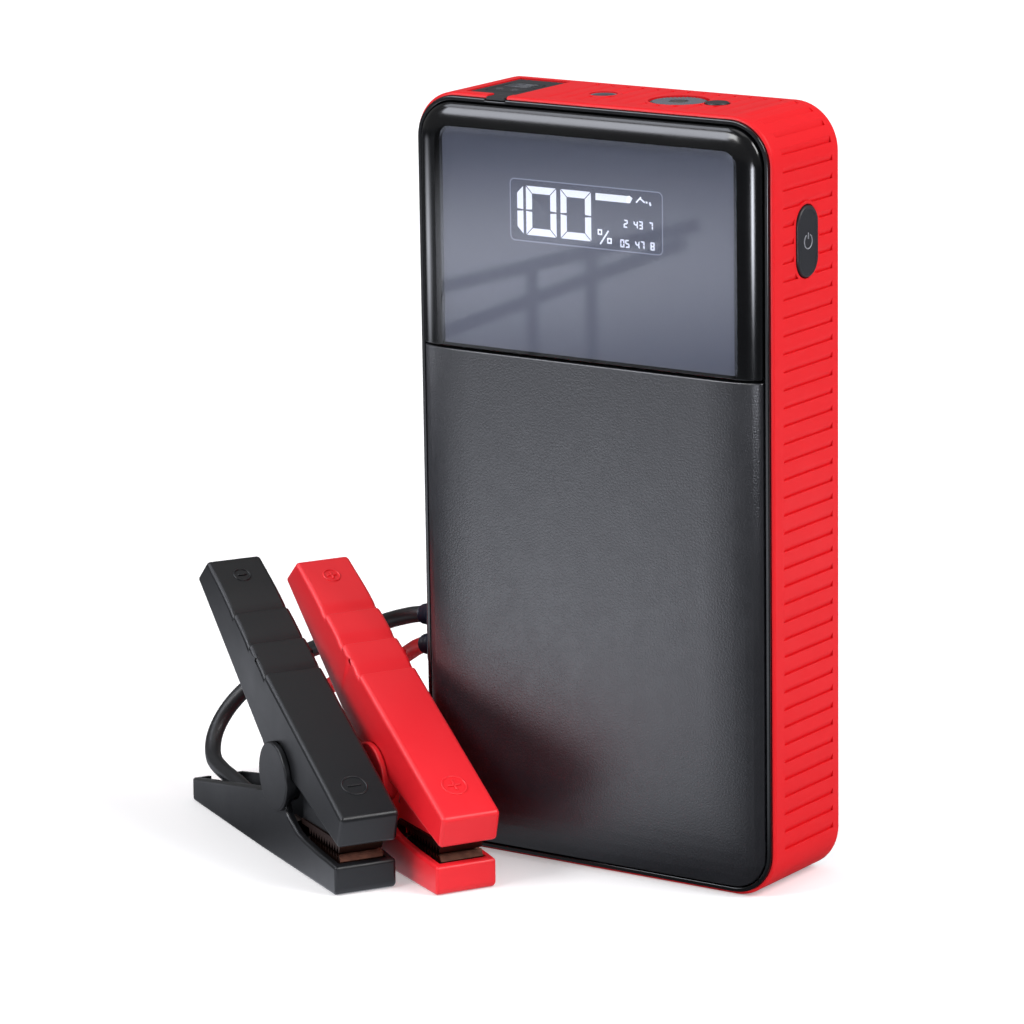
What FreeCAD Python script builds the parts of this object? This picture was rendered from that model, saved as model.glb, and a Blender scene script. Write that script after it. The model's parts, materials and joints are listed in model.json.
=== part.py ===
"""Jump starter pack: a case that stands upright, with two battery clamps on short leads.

Millimetres. The origin is the centre of the case's bottom face, +Z is up, the front cover
faces -Y and the power button is on the +X side. Each sub-part is written to parts/NODE.step.
"""
import FreeCAD
import Part
import math
import os

V = FreeCAD.Vector

# Case: the ribbed side band is the structural ring, closed by a front frame and a rear shell
case_w = 101.5            # over the side band
case_h = 190.0
band_d = 30.3             # depth of the side band
corner_r = 11.5           # band's outer corners, seen from the front
band_wall = 2.4
band_edge = 0.9           # rounded front and back edge of the band
land_w = 0.75             # band left showing round the frame's rim
seat_d = 3.0              # how deep the frame sits in the band
rim_w = 1.2               # frame's rim, seen from the front
rim_proud = 0.85          # how far the rim stands out of the band
groove_w = 0.3            # shadow gap between the rim and the covers
well_d = 2.05             # depth of the well that the covers sit in, from the rim's face
cover_rise = 3.8          # how far the covers stand out of the band
cover_side = 2.25         # straight side of a cover before its crown begins
crown_w = 7.35            # width of the crowned border, sides and top
crown_w_low = 12.05       # width of the crowned border at the bottom
crown_steps = 6
cover_wall = 2.0
skirt_wall = 1.4
skirt_len = 4.5
fit_gap = 0.1             # between pieces that are assembled face to face
slide_gap = 0.3           # between pieces that move past each other
window_h = 62.3           # from the seam between window and plate to the case's top
seam_gap = 0.7
boss_r = 3.4
boss_inset = 8.4          # case screw bosses, from the outer faces
screw_r = 1.5
screw_head_r = 2.7
screw_head_t = 1.8
screw_len = 11.0
head_sink = 0.4           # underside of a screw's head, below the band's back edge
keep_wall = 3.1           # solid left round a counterbore
shell_extra = 0.6         # rear shell is this much thicker than the front covers

# Louvres moulded in the side band
rib_pitch = 4.34
rib_depth = 0.6
rib_run = 1.7             # how far a louvre slopes back before it is flush
rib_front = 4.5           # plain border in front of the louvres
rib_back = 3.3
rib_low_z = 7.4
pad_margin = 1.1          # plain pad left round each port

# Display window
screen_w = 40.4
screen_h = 14.4
screen_drop = 26.7        # middle of the screen, from the case's top
screen_r = 1.6
bezel_t = 1.2
lcd_t = 3.4
lcd_border = 1.9
board_t = 1.6
board_margin = 5.0        # display board past the panel, sides and below
board_side = 8.0

# Power button in the right side
button_w = 9.2
button_h = 17.3
button_drop = 31.0        # middle of the button, from the case's top
button_proud = 0.6
button_travel = 0.5
button_flange = 1.2
flange_t = 1.0
stem_gap = 0.05           # a pressed button stops just short of its switch
stem_r = 1.6
stem_len = 0.5            # power button's stem, from its flange
switch_body = 6.0
switch_t = 3.4

# Top face: port cover, charge socket, torch and torch button, left to right
cover_x = -31.0
port_w = 14.0
port_d = 23.4
port_low = 0.2            # cover lies just under the top face
port_t = 2.0
port_floor = 2.7          # top of the port block, from the top face
tab_w = 5.2
tab_x = -27.0
tab_t = 0.8
bead_r = 1.1              # bead along the hinge edge of the cover
hinge_r = 0.6             # its end pins
hinge_gap = 0.05
hinge_reach = 1.0
usb_w = 13.1
usb_t = 5.7
usb_len = 13.0
usb_y = -4.4
usb_small_w = 8.9
usb_small_t = 3.3
usb_small_len = 7.4
usb_small_y = 4.8
usb_wall = 0.4
block_side = 0.6
charge_x = -6.1
charge_r = 3.4
charge_bore_r = 2.75
charge_pin_r = 1.05
charge_body = 9.0
torch_x = 15.3
torch_r = 7.3
torch_lens_t = 1.7
torch_led_r = 2.6
torch_button_x = 26.1
torch_button_r = 2.9
torch_button_proud = 0.4
top_board_drop = 16.0     # upper side of the top board, from the case's top
top_board_d = 19.0
top_board_end = 4.9       # past the middle of the torch button
top_switch_w = 4.5
switch_stub = 0.6

# Battery and boards
cell_count = 4
cell_t = 5.5
cell_gap = 0.2
cell_room_left = 7.25     # beside the jump socket, for its busbars
cell_room_right = 4.85    # beside the band's wall, for the frame's skirt
cell_room_top = 3.6       # between the cells and the main board
cell_z0 = 13.4
tray_wall = 1.2
link_w = 9.0
link_places = (-20.5, 13.5)  # left edge of each link, from the middle of the cells
main_board_y = 3.0
main_board_drop = 18.0    # top edge of the main board, from the case's top
main_board_h = 39.0
board_gap = 0.3           # between the main board and the side board
post_inset = 2.5          # board posts, from the board's sides
post_inset_low = 4.0
post_inset_top = 4.5
board_post_r = 2.6
board_screw_r = 1.1
board_screw_head_r = 2.1
board_screw_head_t = 1.3
board_screw_len = 5.5
transistor_count = 4
transistor_pitch = 8.2
transistor_x = 3.0
transistor_rise = 8.0     # above the board's lower edge
transistor_w = 6.6
transistor_h = 6.6
capacitor_r = 4.0
capacitor_h = 9.6
capacitor_places = ((-26.0, 14.0), (-26.0, 25.5), (-14.5, 14.0))  # from the board's lower edge

# Jump socket in the left side, with the plug of the clamp leads in it
jump_y = 3.0
jump_z = 49.5
jump_pitch = 7.2          # between the two contacts
plug_w = 16.2
plug_t = 8.4
plug_out = 9.4            # how far the seated plug stands out
plug_in = 9.0
plug_r = 2.0
plug_ribs = 3
plug_rib_x = 2.4          # first rib, from the plug's outer end
plug_rib_pitch = 2.0
lead_bore = 8.0           # how deep a lead sits in the plug
socket_wall = 1.6
socket_len = 17.0
contact_r = 2.5
contact_pin_r = 1.5
lead_r = 2.1

# Clamps, in their own frame: x from the jaw tip to the rear, y across, z up from the floor
jaw_half = 8.1            # lower jaw, half its width
jaw_taper = 0.7           # each side, from the pivot to the rear
jaw_wall = 1.8
jaw_len = 94.5
tip_h = 7.4
heel_h = 5.9
pivot_x = 35.3
pivot_z = 21.6
ear_r = 7.6
cap_r = 8.7
cap_t = 1.3
pin_r = 1.9
pin_gap = 0.05
handle_half = 7.8
handle_tip = (-3.5, 20.2)
handle_chin = (-1.2, 12.3)
handle_rear = (80.2, 66.5)
handle_heel = (87.3, 60.6)
finger_x = (62.6, 52.6, 42.8)
finger_depth = 0.8
finger_run = 9.2
pad_t = 1.8               # bearing pads inside the handle, round the pin
seat_z = 6.4              # where the lower contact lies in the jaw
contact_half = 5.7
contact_t = 1.3
contact_x0 = 2.4
tooth_pitch = 1.6
tooth_h = 1.7
tooth_count = 12
tooth_gap = 0.3           # between the teeth of a closed clamp
barrel_r = 2.9
barrel_x = 40.0
barrel_len = 6.0
lead_z = 4.9              # lead's centre in the jaw's channel
rivet_r = 1.0
rivet_head_r = 1.9
rivet_x = 24.0
nose_x = 26.0             # jaw is solid up to here, and a channel behind it
wire_r = 0.55
coil_r = 3.3
coil_pitch = 1.56
coil_turns = 4
low_leg = 30.0            # where the coil leaves its lower leg, in degrees

# Where the clamps lie: tip centre on the floor, and heading of the rear in degrees
clamp_places = {"black": (-37.9, -60.5, 149.5), "red": (-17.1, -47.6, 151.0)}

# Lead routes, chosen by hand, from the crimp in the jaw to the plug
lead_points = {
    "black": [(-73.2, -39.7, 4.9), (-84.4, -33.1, 4.9), (-96.6, -26.2, 5.8), (-108.7, -19.1, 7.4),
              (-118.0, -13.1, 7.6), (-125.0, -7.8, 8.6), (-128.8, -1.6, 13.3),
              (-128.3, 5.0, 19.5), (-123.4, 9.8, 25.6), (-115.2, 12.2, 31.2),
              (-105.0, 12.0, 36.3), (-94.6, 9.6, 41.0), (-84.2, 6.6, 45.6),
              (-73.7, 4.2, 50.0), (-63.2, 3.0, 53.1), (-52.3, 3.0, 53.1)],
    "red": [(-53.0, -27.7, 4.9), (-64.3, -21.4, 4.9), (-76.7, -14.9, 5.8), (-88.9, -8.0, 7.2),
            (-98.6, -2.4, 7.4), (-107.8, 2.8, 7.6), (-113.2, 9.5, 11.7), (-112.7, 16.9, 18.3),
            (-106.6, 21.2, 24.6), (-96.6, 19.8, 28.8), (-85.4, 13.6, 32.8),
            (-74.4, 7.2, 38.8), (-63.2, 3.0, 45.9), (-52.3, 3.0, 45.9)],
}

os.makedirs("parts", exist_ok=True)
written = []


def save(name, shape):
    shape.exportStep("parts/" + name + ".step")
    written.append((name, len(shape.Solids), shape.Volume, shape.isValid()))


# Basic shapes
def block(x0, x1, y0, y1, z0, z1):
    return Part.makeBox(x1 - x0, y1 - y0, z1 - z0, V(x0, y0, z0))


def rod(radius, start, direction, length):
    return Part.makeCylinder(radius, length, V(*start), V(*direction))


def face_of(points):
    return Part.Face(Part.makePolygon([V(*p) for p in points] + [V(*points[0])]))


def side_prism(points, y0, y1):
    """Solid with an outline in X and Z, reaching from y0 to y1."""
    return face_of([(x, y0, z) for x, z in points]).extrude(V(0, y1 - y0, 0))


def plan_prism(points, z0, z1):
    """Solid with an outline in X and Y, reaching from z0 to z1."""
    return face_of([(x, y, z0) for x, y in points]).extrude(V(0, 0, z1 - z0))


def rounded_wire(x0, x1, z0, z1, r, y):
    """Rounded rectangle in the XZ plane at depth y."""
    k = r * math.sqrt(0.5)
    corners = [(x1 - r, z1 - r, 1, 1), (x0 + r, z1 - r, -1, 1),
               (x0 + r, z0 + r, -1, -1), (x1 - r, z0 + r, 1, -1)]
    edges = []
    arcs = []
    for cx, cz, sx, sz in corners:
        out = V(cx + sx * r, y, cz)
        up = V(cx, y, cz + sz * r)
        mid = V(cx + sx * k, y, cz + sz * k)
        ends = (out, up) if sx * sz > 0 else (up, out)
        arcs.append((ends[0], mid, ends[1]))
    for i, (a, m, b) in enumerate(arcs):
        edges.append(Part.Arc(a, m, b).toShape())
        edges.append(Part.makeLine(b, arcs[(i + 1) % 4][0]))
    return Part.Wire(edges)


def slab(x0, x1, z0, z1, r, y0, y1):
    return Part.Face(rounded_wire(x0, x1, z0, z1, r, y0)).extrude(V(0, y1 - y0, 0))


def case_slab(inset, y0, y1):
    """Slab that follows the case's outline, inset by the same distance all round."""
    return slab(-case_w / 2 + inset, case_w / 2 - inset, inset, case_h - inset,
                corner_r - inset, y0, y1)


def turned(profile, centre, axis):
    """Solid of revolution from (radius, height) points about an axis through centre."""
    points = [V(r, 0, h) for r, h in profile]
    solid = Part.Face(Part.makePolygon(points + [points[0]])).revolve(V(0, 0, 0), V(0, 0, 1), 360)
    turn = FreeCAD.Rotation(V(0, 0, 1), V(*axis))
    solid.Placement = FreeCAD.Placement(V(*centre), turn)
    return solid


def placed(shape, place):
    x, y, heading = place
    moved = shape.copy()
    turn = FreeCAD.Rotation(V(0, 0, 1), heading)
    moved.Placement = FreeCAD.Placement(V(x, y, 0), turn).multiply(shape.Placement)
    return moved


# Tubes: a cord's route is straight runs joined by tangent arcs
def lead_tube(points, radius, name):
    pts = [V(*p) for p in points]
    edges = []
    start = pts[0]
    length = 0.0
    radii = []
    for a, b, c in zip(pts, pts[1:], pts[2:]):
        u = (b - a).normalize()
        w = (c - b).normalize()
        half = math.acos(max(-1.0, min(1.0, u.dot(w)))) / 2
        reach = 0.45 * min((b - a).Length, (c - b).Length)
        bend = reach / math.tan(half)
        p = b - u * reach
        q = b + w * reach
        toward = (w - u).normalize()
        centre = b + toward * (bend / math.cos(half))
        mid = centre - toward * bend
        edges.append(Part.makeLine(start, p))
        edges.append(Part.Arc(p, mid, q).toShape())
        length += (p - start).Length + bend * 2 * half
        radii.append(round(bend, 1))
        start = q
    edges.append(Part.makeLine(start, pts[-1]))
    length += (pts[-1] - start).Length
    ring = Part.Wire(Part.makeCircle(radius, pts[0], pts[1] - pts[0]))
    tube = Part.Wire(edges).makePipeShell([ring], True, False)
    ratio = tube.Volume / (math.pi * radius ** 2 * length)
    print(name, "length", round(length, 1), "bend radii", radii, "volume ratio", round(ratio, 4))
    return tube


def biarc(p0, t0, p1, t1):
    """Two arcs from p0 to p1 that leave along t0 and arrive along t1."""
    v = p1 - p0
    spread = 2 * (1 - t0.dot(t1))
    along = v.dot(t0 + t1)
    d = (math.sqrt(along ** 2 + spread * v.dot(v)) - along) / spread
    joint = (p0 + t0 * d + p1 - t1 * d) * 0.5
    arcs = []
    for start, tangent, end in ((p0, t0, joint), (p1, t1 * -1, joint)):
        chord = end - start
        across = tangent.cross(chord).cross(tangent).normalize()
        bend = chord.dot(chord) / (2 * chord.dot(across))
        centre = start + across * bend
        mid = centre + ((start + end) * 0.5 - centre).normalize() * bend
        arcs.append((start, mid, end))
    first, last = arcs
    return [Part.Arc(*first).toShape(), Part.Arc(last[2], last[1], last[0]).toShape()]


# Case
cover_inset = land_w + rim_w + groove_w
front_y = -band_d / 2
back_y = band_d / 2
seat_y = back_y - seat_d                       # frame and rear shell meet the band here
well_y = back_y + rim_proud - well_d           # floor of the wells
face_y = back_y + cover_rise                   # outermost face, front and back
crown_y = well_y + cover_side
side_x = case_w / 2
inner_x = side_x - band_wall
top_in = case_h - band_wall
seam_z = case_h - window_h
screen_z = case_h - screen_drop
button_z = case_h - button_drop
top_board_z = case_h - top_board_drop
flat_x = side_x - cover_inset - crown_w        # flat part of the covers
flat_top = case_h - cover_inset - crown_w
flat_low = cover_inset + crown_w_low
boss_places = [(sx * (side_x - boss_inset), z)
               for sx in (-1, 1) for z in (boss_inset, case_h - boss_inset)]
button_x0 = inner_x - slide_gap - flange_t      # inner face of the power button's flange
push_gap = button_travel + stem_gap             # from a button's stem to its switch
push_x = button_x0 - stem_len - push_gap        # tip of the power switch
side_board_x = push_x - switch_stub - switch_t - fit_gap
main_board_x = side_board_x - board_t - board_gap
main_board_z1 = case_h - main_board_drop
main_board_z0 = main_board_z1 - main_board_h
post_places = [(sx * (main_board_x - post_inset), z) for sx in (-1, 1)
               for z in (main_board_z0 + post_inset_low, main_board_z1 - post_inset_top)]
board_back = main_board_y + board_t + 0.02
window_x = screen_w / 2 + lcd_border
window_z0 = screen_z - screen_h / 2 - lcd_border
window_z1 = screen_z + screen_h / 2 + lcd_border
port_x0 = cover_x - port_w / 2
port_x1 = cover_x + port_w / 2
port_y0 = -port_d / 2
port_y1 = port_d / 2
port_top = case_h - port_low
bead_y = port_y1 - bead_r
bead_z = port_top - bead_r
tab_z = port_top - tab_t - slide_gap            # floor of the tab's slot
socket_h = plug_w + 2 * socket_wall
socket_t = plug_t + 2 * socket_wall
socket_x1 = socket_len - side_x


def crowned(sign, gap):
    """Outer form of a cover: straight side, then a crowned border, then flat."""
    x1 = side_x - cover_inset
    z0 = cover_inset
    z1 = case_h - cover_inset
    r = corner_r - cover_inset
    rings = []
    for k in range(crown_steps + 1):
        a = math.pi / 2 * k / crown_steps
        inset = crown_w * (1 - math.cos(a))
        low = crown_w_low * (1 - math.cos(a))
        y = sign * (crown_y + (face_y - crown_y) * math.sin(a))
        rings.append(rounded_wire(-x1 + inset, x1 - inset, z0 + low, z1 - inset, r - inset, y))
    crown = Part.makeLoft(rings, True, True)
    base = slab(-x1, x1, z0, z1, r, sign * (well_y + gap), sign * crown_y)
    return base.fuse(crown)


def outline(u):
    """Point and outward normal on the right half of the case's outline, by its length."""
    side = case_h - 2 * corner_r
    if u <= side:
        return V(side_x, 0, corner_r + u), V(1, 0, 0)
    turn = (u - side) / corner_r
    if turn <= math.pi / 2:
        n = V(math.cos(turn), 0, math.sin(turn))
        return V(side_x - corner_r, 0, case_h - corner_r) + n * corner_r, n
    return V(side_x - corner_r - (u - side - corner_r * math.pi / 2), 0, case_h), V(0, 0, 1)


def louvre_cutter(u_end, side):
    """Cuts louvres: each drops back to a ledge at its foot and is flush above its slope."""
    count = int((u_end - (rib_low_z - corner_r)) / rib_pitch)
    inner = []
    outer = []
    for k in range(count):
        low = rib_low_z - corner_r + k * rib_pitch
        for run, rise in ((0.0, -rib_depth), (rib_run, 0.05), (rib_pitch, 0.05)):
            p, n = outline(low + run)
            inner.append(p + n * rise)
            outer.append(p + n)
    ring = [(side * p.x, front_y + rib_front, p.z) for p in inner + outer[::-1]]
    return face_of(ring).extrude(V(0, band_d - rib_front - rib_back, 0))


def stadium(width, height, x0, x1, y, z):
    """Upright stadium in the YZ plane."""
    return rounded_block(x0, x1, y - width / 2, y + width / 2, z - height / 2, z + height / 2,
                         width / 2 - 0.01)


def rounded_block(x0, x1, y0, y1, z0, z1, r, axis="x"):
    """Box whose four edges along the axis are rounded."""
    core = block(x0, x1, y0, y1, z0, z1)
    edges = [e for e in core.Edges if abs(getattr(e.tangentAt(e.FirstParameter), axis)) > 0.9]
    return core.makeFillet(r, edges)


def jump_block(x0, x1, margin, r):
    """Block round the jump socket's mouth, larger than the socket by a margin."""
    return rounded_block(x0, x1, jump_y - socket_t / 2 - margin, jump_y + socket_t / 2 + margin,
                         jump_z - socket_h / 2 - margin, jump_z + socket_h / 2 + margin, r)


def tab_slot():
    """Slot that the port cover's tab lies in, out through the front edge."""
    half = tab_w / 2 + slide_gap
    return block(tab_x - half, tab_x + half, front_y - rim_proud - 1, port_y0, tab_z, case_h + 1)


def make_side_band():
    ring = case_slab(0, front_y, back_y)
    ring = ring.makeFillet(band_edge, [e for e in ring.Edges
                                       if abs(abs(e.CenterOfMass.y) - back_y) < 0.01])
    ring = ring.cut(case_slab(band_wall, front_y - 1, back_y + 1))
    ring = ring.cut(case_slab(land_w, front_y - 1, -seat_y))
    ring = ring.cut(case_slab(land_w, seat_y, back_y + 1))
    u_top = case_h - 2 * corner_r + corner_r * math.pi / 2
    m = pad_margin
    pads = [
        stadium(button_w + 2 * m, button_h + 2 * m, side_x - 2, side_x + 2, 0, button_z),
        rod(charge_r + m, (charge_x, 0, case_h - 2), (0, 0, 1), 4),
        rod(torch_r + m, (torch_x, 0, case_h - 2), (0, 0, 1), 4),
        rod(torch_button_r + m, (torch_button_x, 0, case_h - 2), (0, 0, 1), 4),
        jump_block(-side_x - 2, 2 - side_x, m, plug_r),
    ]
    right = louvre_cutter(u_top + side_x - corner_r - port_x1 - 3, 1)
    left = louvre_cutter(u_top, -1)
    ring = ring.cut(right.cut(pads))
    ring = ring.cut(left.cut(pads))
    g = slide_gap
    holes = [
        stadium(button_w + 2 * g, button_h + 2 * g, inner_x - 1, side_x + 1, 0, button_z),
        rod(charge_r + fit_gap, (charge_x, 0, top_in - 1), (0, 0, 1), 4),
        rod(torch_r + fit_gap, (torch_x, 0, top_in - 1), (0, 0, 1), 4),
        rod(torch_button_r + g, (torch_button_x, 0, top_in - 1), (0, 0, 1), 4),
        block(port_x0 - g, port_x1 + g, port_y0 - g, port_y1 + g, top_in - 1, case_h + 1),
        tab_slot(),
        rod(hinge_r + hinge_gap, (port_x0 - hinge_reach - g, bead_y, bead_z), (1, 0, 0),
            port_w + 2 * (hinge_reach + g)),
        jump_block(-side_x - 1, 1 - inner_x, fit_gap, plug_r + socket_wall),
    ]
    return ring.cut(holes)


def skirt_holes(sign):
    """Room in a skirt for the port block, the jump socket and, behind, the screw bosses."""
    y0, y1 = sorted((sign * seat_y, sign * (seat_y - skirt_len - 1)))
    side = block_side + slide_gap
    socket = jump_block(-side_x, 1 - inner_x + skirt_wall, 1.0, plug_r)
    return [
        block(port_x0 - side, port_x1 + side, y0, y1, top_in - skirt_wall - 1, case_h),
        socket.common(block(-side_x, 0, y0, y1, 0, case_h)),
    ]


def make_front_frame():
    frame = case_slab(land_w + fit_gap, front_y - rim_proud, -seat_y)
    frame = frame.cut(case_slab(land_w + rim_w, front_y - rim_proud - 1, -well_y))
    skirt = case_slab(band_wall + 2 * fit_gap, -seat_y, skirt_len - seat_y)
    skirt = skirt.cut(case_slab(band_wall + 2 * fit_gap + skirt_wall, -seat_y, skirt_len - seat_y))
    bosses = [rod(boss_r, (x, -seat_y, z), (0, 1, 0), 2 * seat_y - fit_gap)
              for x, z in boss_places]
    posts = [rod(board_post_r, (x, -seat_y, z), (0, 1, 0), main_board_y + seat_y)
             for x, z in post_places]
    frame = frame.fuse([skirt.cut(skirt_holes(-1))] + bosses + posts)
    g = slide_gap
    holes = [rod(screw_r - 0.1, (x, -seat_y + 2, z), (0, 1, 0), 2 * seat_y) for x, z in boss_places]
    holes += [rod(board_screw_r - 0.1, (x, board_back - board_screw_len - 0.5, z), (0, 1, 0),
                  board_screw_len + 1) for x, z in post_places]
    holes.append(tab_slot())
    holes.append(block(-window_x - g, window_x + g, -back_y - 1, -seat_y + 1,
                       window_z0 - g, window_z1 + g))
    return frame.cut(holes)


def make_window_lens(crown):
    lens = crown.common(block(-side_x, side_x, -face_y - 1, 0, seam_z + seam_gap / 2, case_h))
    x1 = flat_x + cover_wall
    return lens.cut(slab(-x1, x1, seam_z + seam_gap / 2 + cover_wall, flat_top + cover_wall,
                         cover_wall, cover_wall - face_y, 0))


def make_front_cover(crown):
    cover = crown.common(block(-side_x, side_x, -face_y - 1, 0, 0, seam_z - seam_gap / 2))
    x1 = flat_x + cover_wall
    return cover.cut(slab(-x1, x1, flat_low, seam_z - seam_gap / 2 - cover_wall,
                          cover_wall, cover_wall - face_y, 0))


shell_inner_y = face_y - cover_wall - shell_extra  # inside of the rear shell's flat part
head_y = back_y - head_sink                     # underside of the case screws' heads
bezel_y = cover_wall + fit_gap - face_y
lcd_y0 = bezel_y + bezel_t + fit_gap
lcd_y1 = lcd_y0 + lcd_t


def make_display_bezel():
    x1 = flat_x + cover_wall - fit_gap
    z0 = seam_z + seam_gap / 2 + cover_wall + fit_gap
    z1 = flat_top + cover_wall - fit_gap
    plate = slab(-x1, x1, z0, z1, cover_wall, bezel_y, -well_y - fit_gap)
    plate = plate.cut(slab(-x1 + 1.5, x1 - 1.5, z0 + 1.5, z1 - 1.5, cover_wall / 2,
                           bezel_y + bezel_t, 0))
    return plate.cut(slab(-screen_w / 2, screen_w / 2, screen_z - screen_h / 2,
                          screen_z + screen_h / 2, screen_r, bezel_y - 1, 0))


def make_lcd():
    return slab(-window_x, window_x, window_z0, window_z1, screen_r, lcd_y0, lcd_y1)


def make_display_board():
    half = window_x + board_side
    return block(-half, half, lcd_y1 + fit_gap, lcd_y1 + fit_gap + board_t,
                 window_z0 - board_margin, top_board_z - slide_gap)


def make_rear_shell():
    shell = case_slab(land_w + fit_gap, seat_y, back_y + rim_proud)
    shell = shell.cut(case_slab(land_w + rim_w, well_y, back_y + rim_proud + 1))
    skirt = case_slab(band_wall + 2 * fit_gap, seat_y - skirt_len, seat_y)
    skirt = skirt.cut(case_slab(band_wall + 2 * fit_gap + skirt_wall, seat_y - skirt_len, seat_y))
    shell = shell.fuse(crowned(1, 0))
    x1 = flat_x + cover_wall
    hollow = slab(-x1, x1, flat_low, flat_top + cover_wall, cover_wall,
                  seat_y - 1, shell_inner_y)
    keeps = [rod(screw_head_r + keep_wall, (x, 0, z), (0, 1, 0), face_y) for x, z in boss_places]
    shell = shell.cut(hollow.cut(keeps)).fuse(skirt.cut(skirt_holes(1)))
    holes = []
    for x, z in boss_places:
        holes.append(rod(screw_r + 0.2, (x, 0, z), (0, 1, 0), face_y))
        holes.append(rod(screw_head_r + 0.3, (x, head_y, z), (0, 1, 0), face_y))
        holes.append(rod(boss_r + fit_gap, (x, 0, z), (0, 1, 0), seat_y))
    return shell.cut(holes)


def pan_screw(x, y, z, shank_r, head_r, head_t, length):
    """Cross-head screw along Y, with the underside of its head at y."""
    shank = rod(shank_r, (x, y - length, z), (0, 1, 0), length)
    head = rod(head_r, (x, y, z), (0, 1, 0), head_t)
    head = head.makeFillet(head_t * 0.45, [e for e in head.Edges
                                           if e.Curve.TypeId == "Part::GeomCircle"
                                           and e.CenterOfMass.y > y + head_t / 2])
    arm = head_r * 0.55
    half = head_t * 0.2
    foot = y + head_t * 0.45
    cross = block(x - arm, x + arm, foot, y + head_t + 1, z - half, z + half)
    return shank.fuse(head).cut([cross, block(x - half, x + half, foot, y + head_t + 1,
                                              z - arm, z + arm)])


def make_case_screws():
    return Part.makeCompound([pan_screw(x, head_y + 0.02, z, screw_r - 0.15, screw_head_r,
                                        screw_head_t, screw_len) for x, z in boss_places])


# Battery and boards
stack_y0 = 0.2 + tray_wall - seat_y
cell_x0 = socket_x1 + cell_room_left
cell_x1 = inner_x - cell_room_right
cell_z1 = main_board_z0 - cell_room_top
stack_y1 = stack_y0 + cell_count * (cell_t + cell_gap) - cell_gap


def make_cell(k):
    y0 = stack_y0 + k * (cell_t + cell_gap)
    return rounded_block(cell_x0, cell_x1, y0, y0 + cell_t, cell_z0, cell_z1, 1.2, "z")


def make_cell_tray():
    w = tray_wall + cell_gap
    tray = block(cell_x0 - w, cell_x1 + w, fit_gap - seat_y, stack_y1 - 3, cell_z0 - w,
                 cell_z1 - 20)
    g = cell_gap
    return tray.cut(block(cell_x0 - g, cell_x1 + g, stack_y0 - 0.1, seat_y, cell_z0 - g, cell_z1))


def make_foam_pad():
    x1 = min(cell_x1, flat_x + cover_wall) - 1
    return block(cell_x0 + 1, x1, stack_y1 + fit_gap, shell_inner_y - fit_gap,
                 flat_low + 1, cell_z1 - 1)


def make_cell_links():
    links = []
    for place in link_places:
        x = (cell_x0 + cell_x1) / 2 + place
        strip = block(x, x + link_w, stack_y0, stack_y1, cell_z1 + fit_gap, cell_z1 + 0.6)
        riser = block(x + 2, x + link_w - 2, main_board_y - 0.8, main_board_y - fit_gap,
                      cell_z1 + fit_gap, main_board_z0 + 4)
        links.append(strip.fuse(riser))
    return Part.makeCompound(links)


def make_main_board():
    board = block(-main_board_x, main_board_x, main_board_y, main_board_y + board_t,
                  main_board_z0, main_board_z1)
    return board.cut([rod(board_screw_r + 0.2, (x, main_board_y - 1, z), (0, 1, 0), 4)
                      for x, z in post_places])


def make_transistors():
    parts = []
    z0 = main_board_z0 + transistor_rise
    z1 = z0 + transistor_h
    for k in range(transistor_count):
        x = transistor_x + k * transistor_pitch
        body = block(x, x + transistor_w, board_back, board_back + 2.4, z0, z1)
        tab = block(x + 0.5, x + transistor_w - 0.5, board_back, board_back + 1.0, z1, z1 + 2.4)
        parts.append(body.fuse(tab))
    return Part.makeCompound(parts)


def make_capacitors():
    parts = []
    for x, rise in capacitor_places:
        parts.append(rod(capacitor_r, (x, board_back, main_board_z0 + rise), (0, 1, 0),
                         capacitor_h))
    return Part.makeCompound(parts)


def make_board_screws():
    return Part.makeCompound([pan_screw(x, board_back, z, board_screw_r - 0.15,
                                        board_screw_head_r, board_screw_head_t, board_screw_len)
                              for x, z in post_places])


# Top face
def make_top_board():
    return block(port_x0, torch_button_x + top_board_end, -top_board_d / 2, top_board_d / 2,
                 top_board_z - board_t, top_board_z)


on_board = top_board_z + fit_gap
port_floor_z = case_h - port_floor


def make_port_block():
    g = fit_gap
    body = block(port_x0 - block_side, port_x1 + block_side, port_y0 + g, port_y1 + g,
                 on_board, port_floor_z)
    large = block(cover_x - usb_w / 2 - g, cover_x + usb_w / 2 + g, usb_y - usb_t / 2 - g,
                  usb_y + usb_t / 2 + g, on_board, case_h)
    small = rounded_block(cover_x - usb_small_w / 2 - g, cover_x + usb_small_w / 2 + g,
                          usb_small_y - usb_small_t / 2 - g, usb_small_y + usb_small_t / 2 + g,
                          port_floor_z - usb_small_len - 2 * g, case_h, usb_small_t / 2, "z")
    return body.cut([large, small])


def make_usb_a():
    top = port_floor_z - fit_gap
    z0 = top - usb_len
    w = usb_wall
    shell = block(cover_x - usb_w / 2, cover_x + usb_w / 2, usb_y - usb_t / 2,
                  usb_y + usb_t / 2, z0, top)
    shell = shell.cut(block(cover_x - usb_w / 2 + w, cover_x + usb_w / 2 - w,
                            usb_y - usb_t / 2 + w, usb_y + usb_t / 2 - w, z0 + 3, top + 1))
    tongue = block(cover_x - 5.6, cover_x + 5.6, usb_y + 0.3, usb_y + 2.1, z0 + 2, top - 1.2)
    return shell.fuse(tongue)


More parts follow.
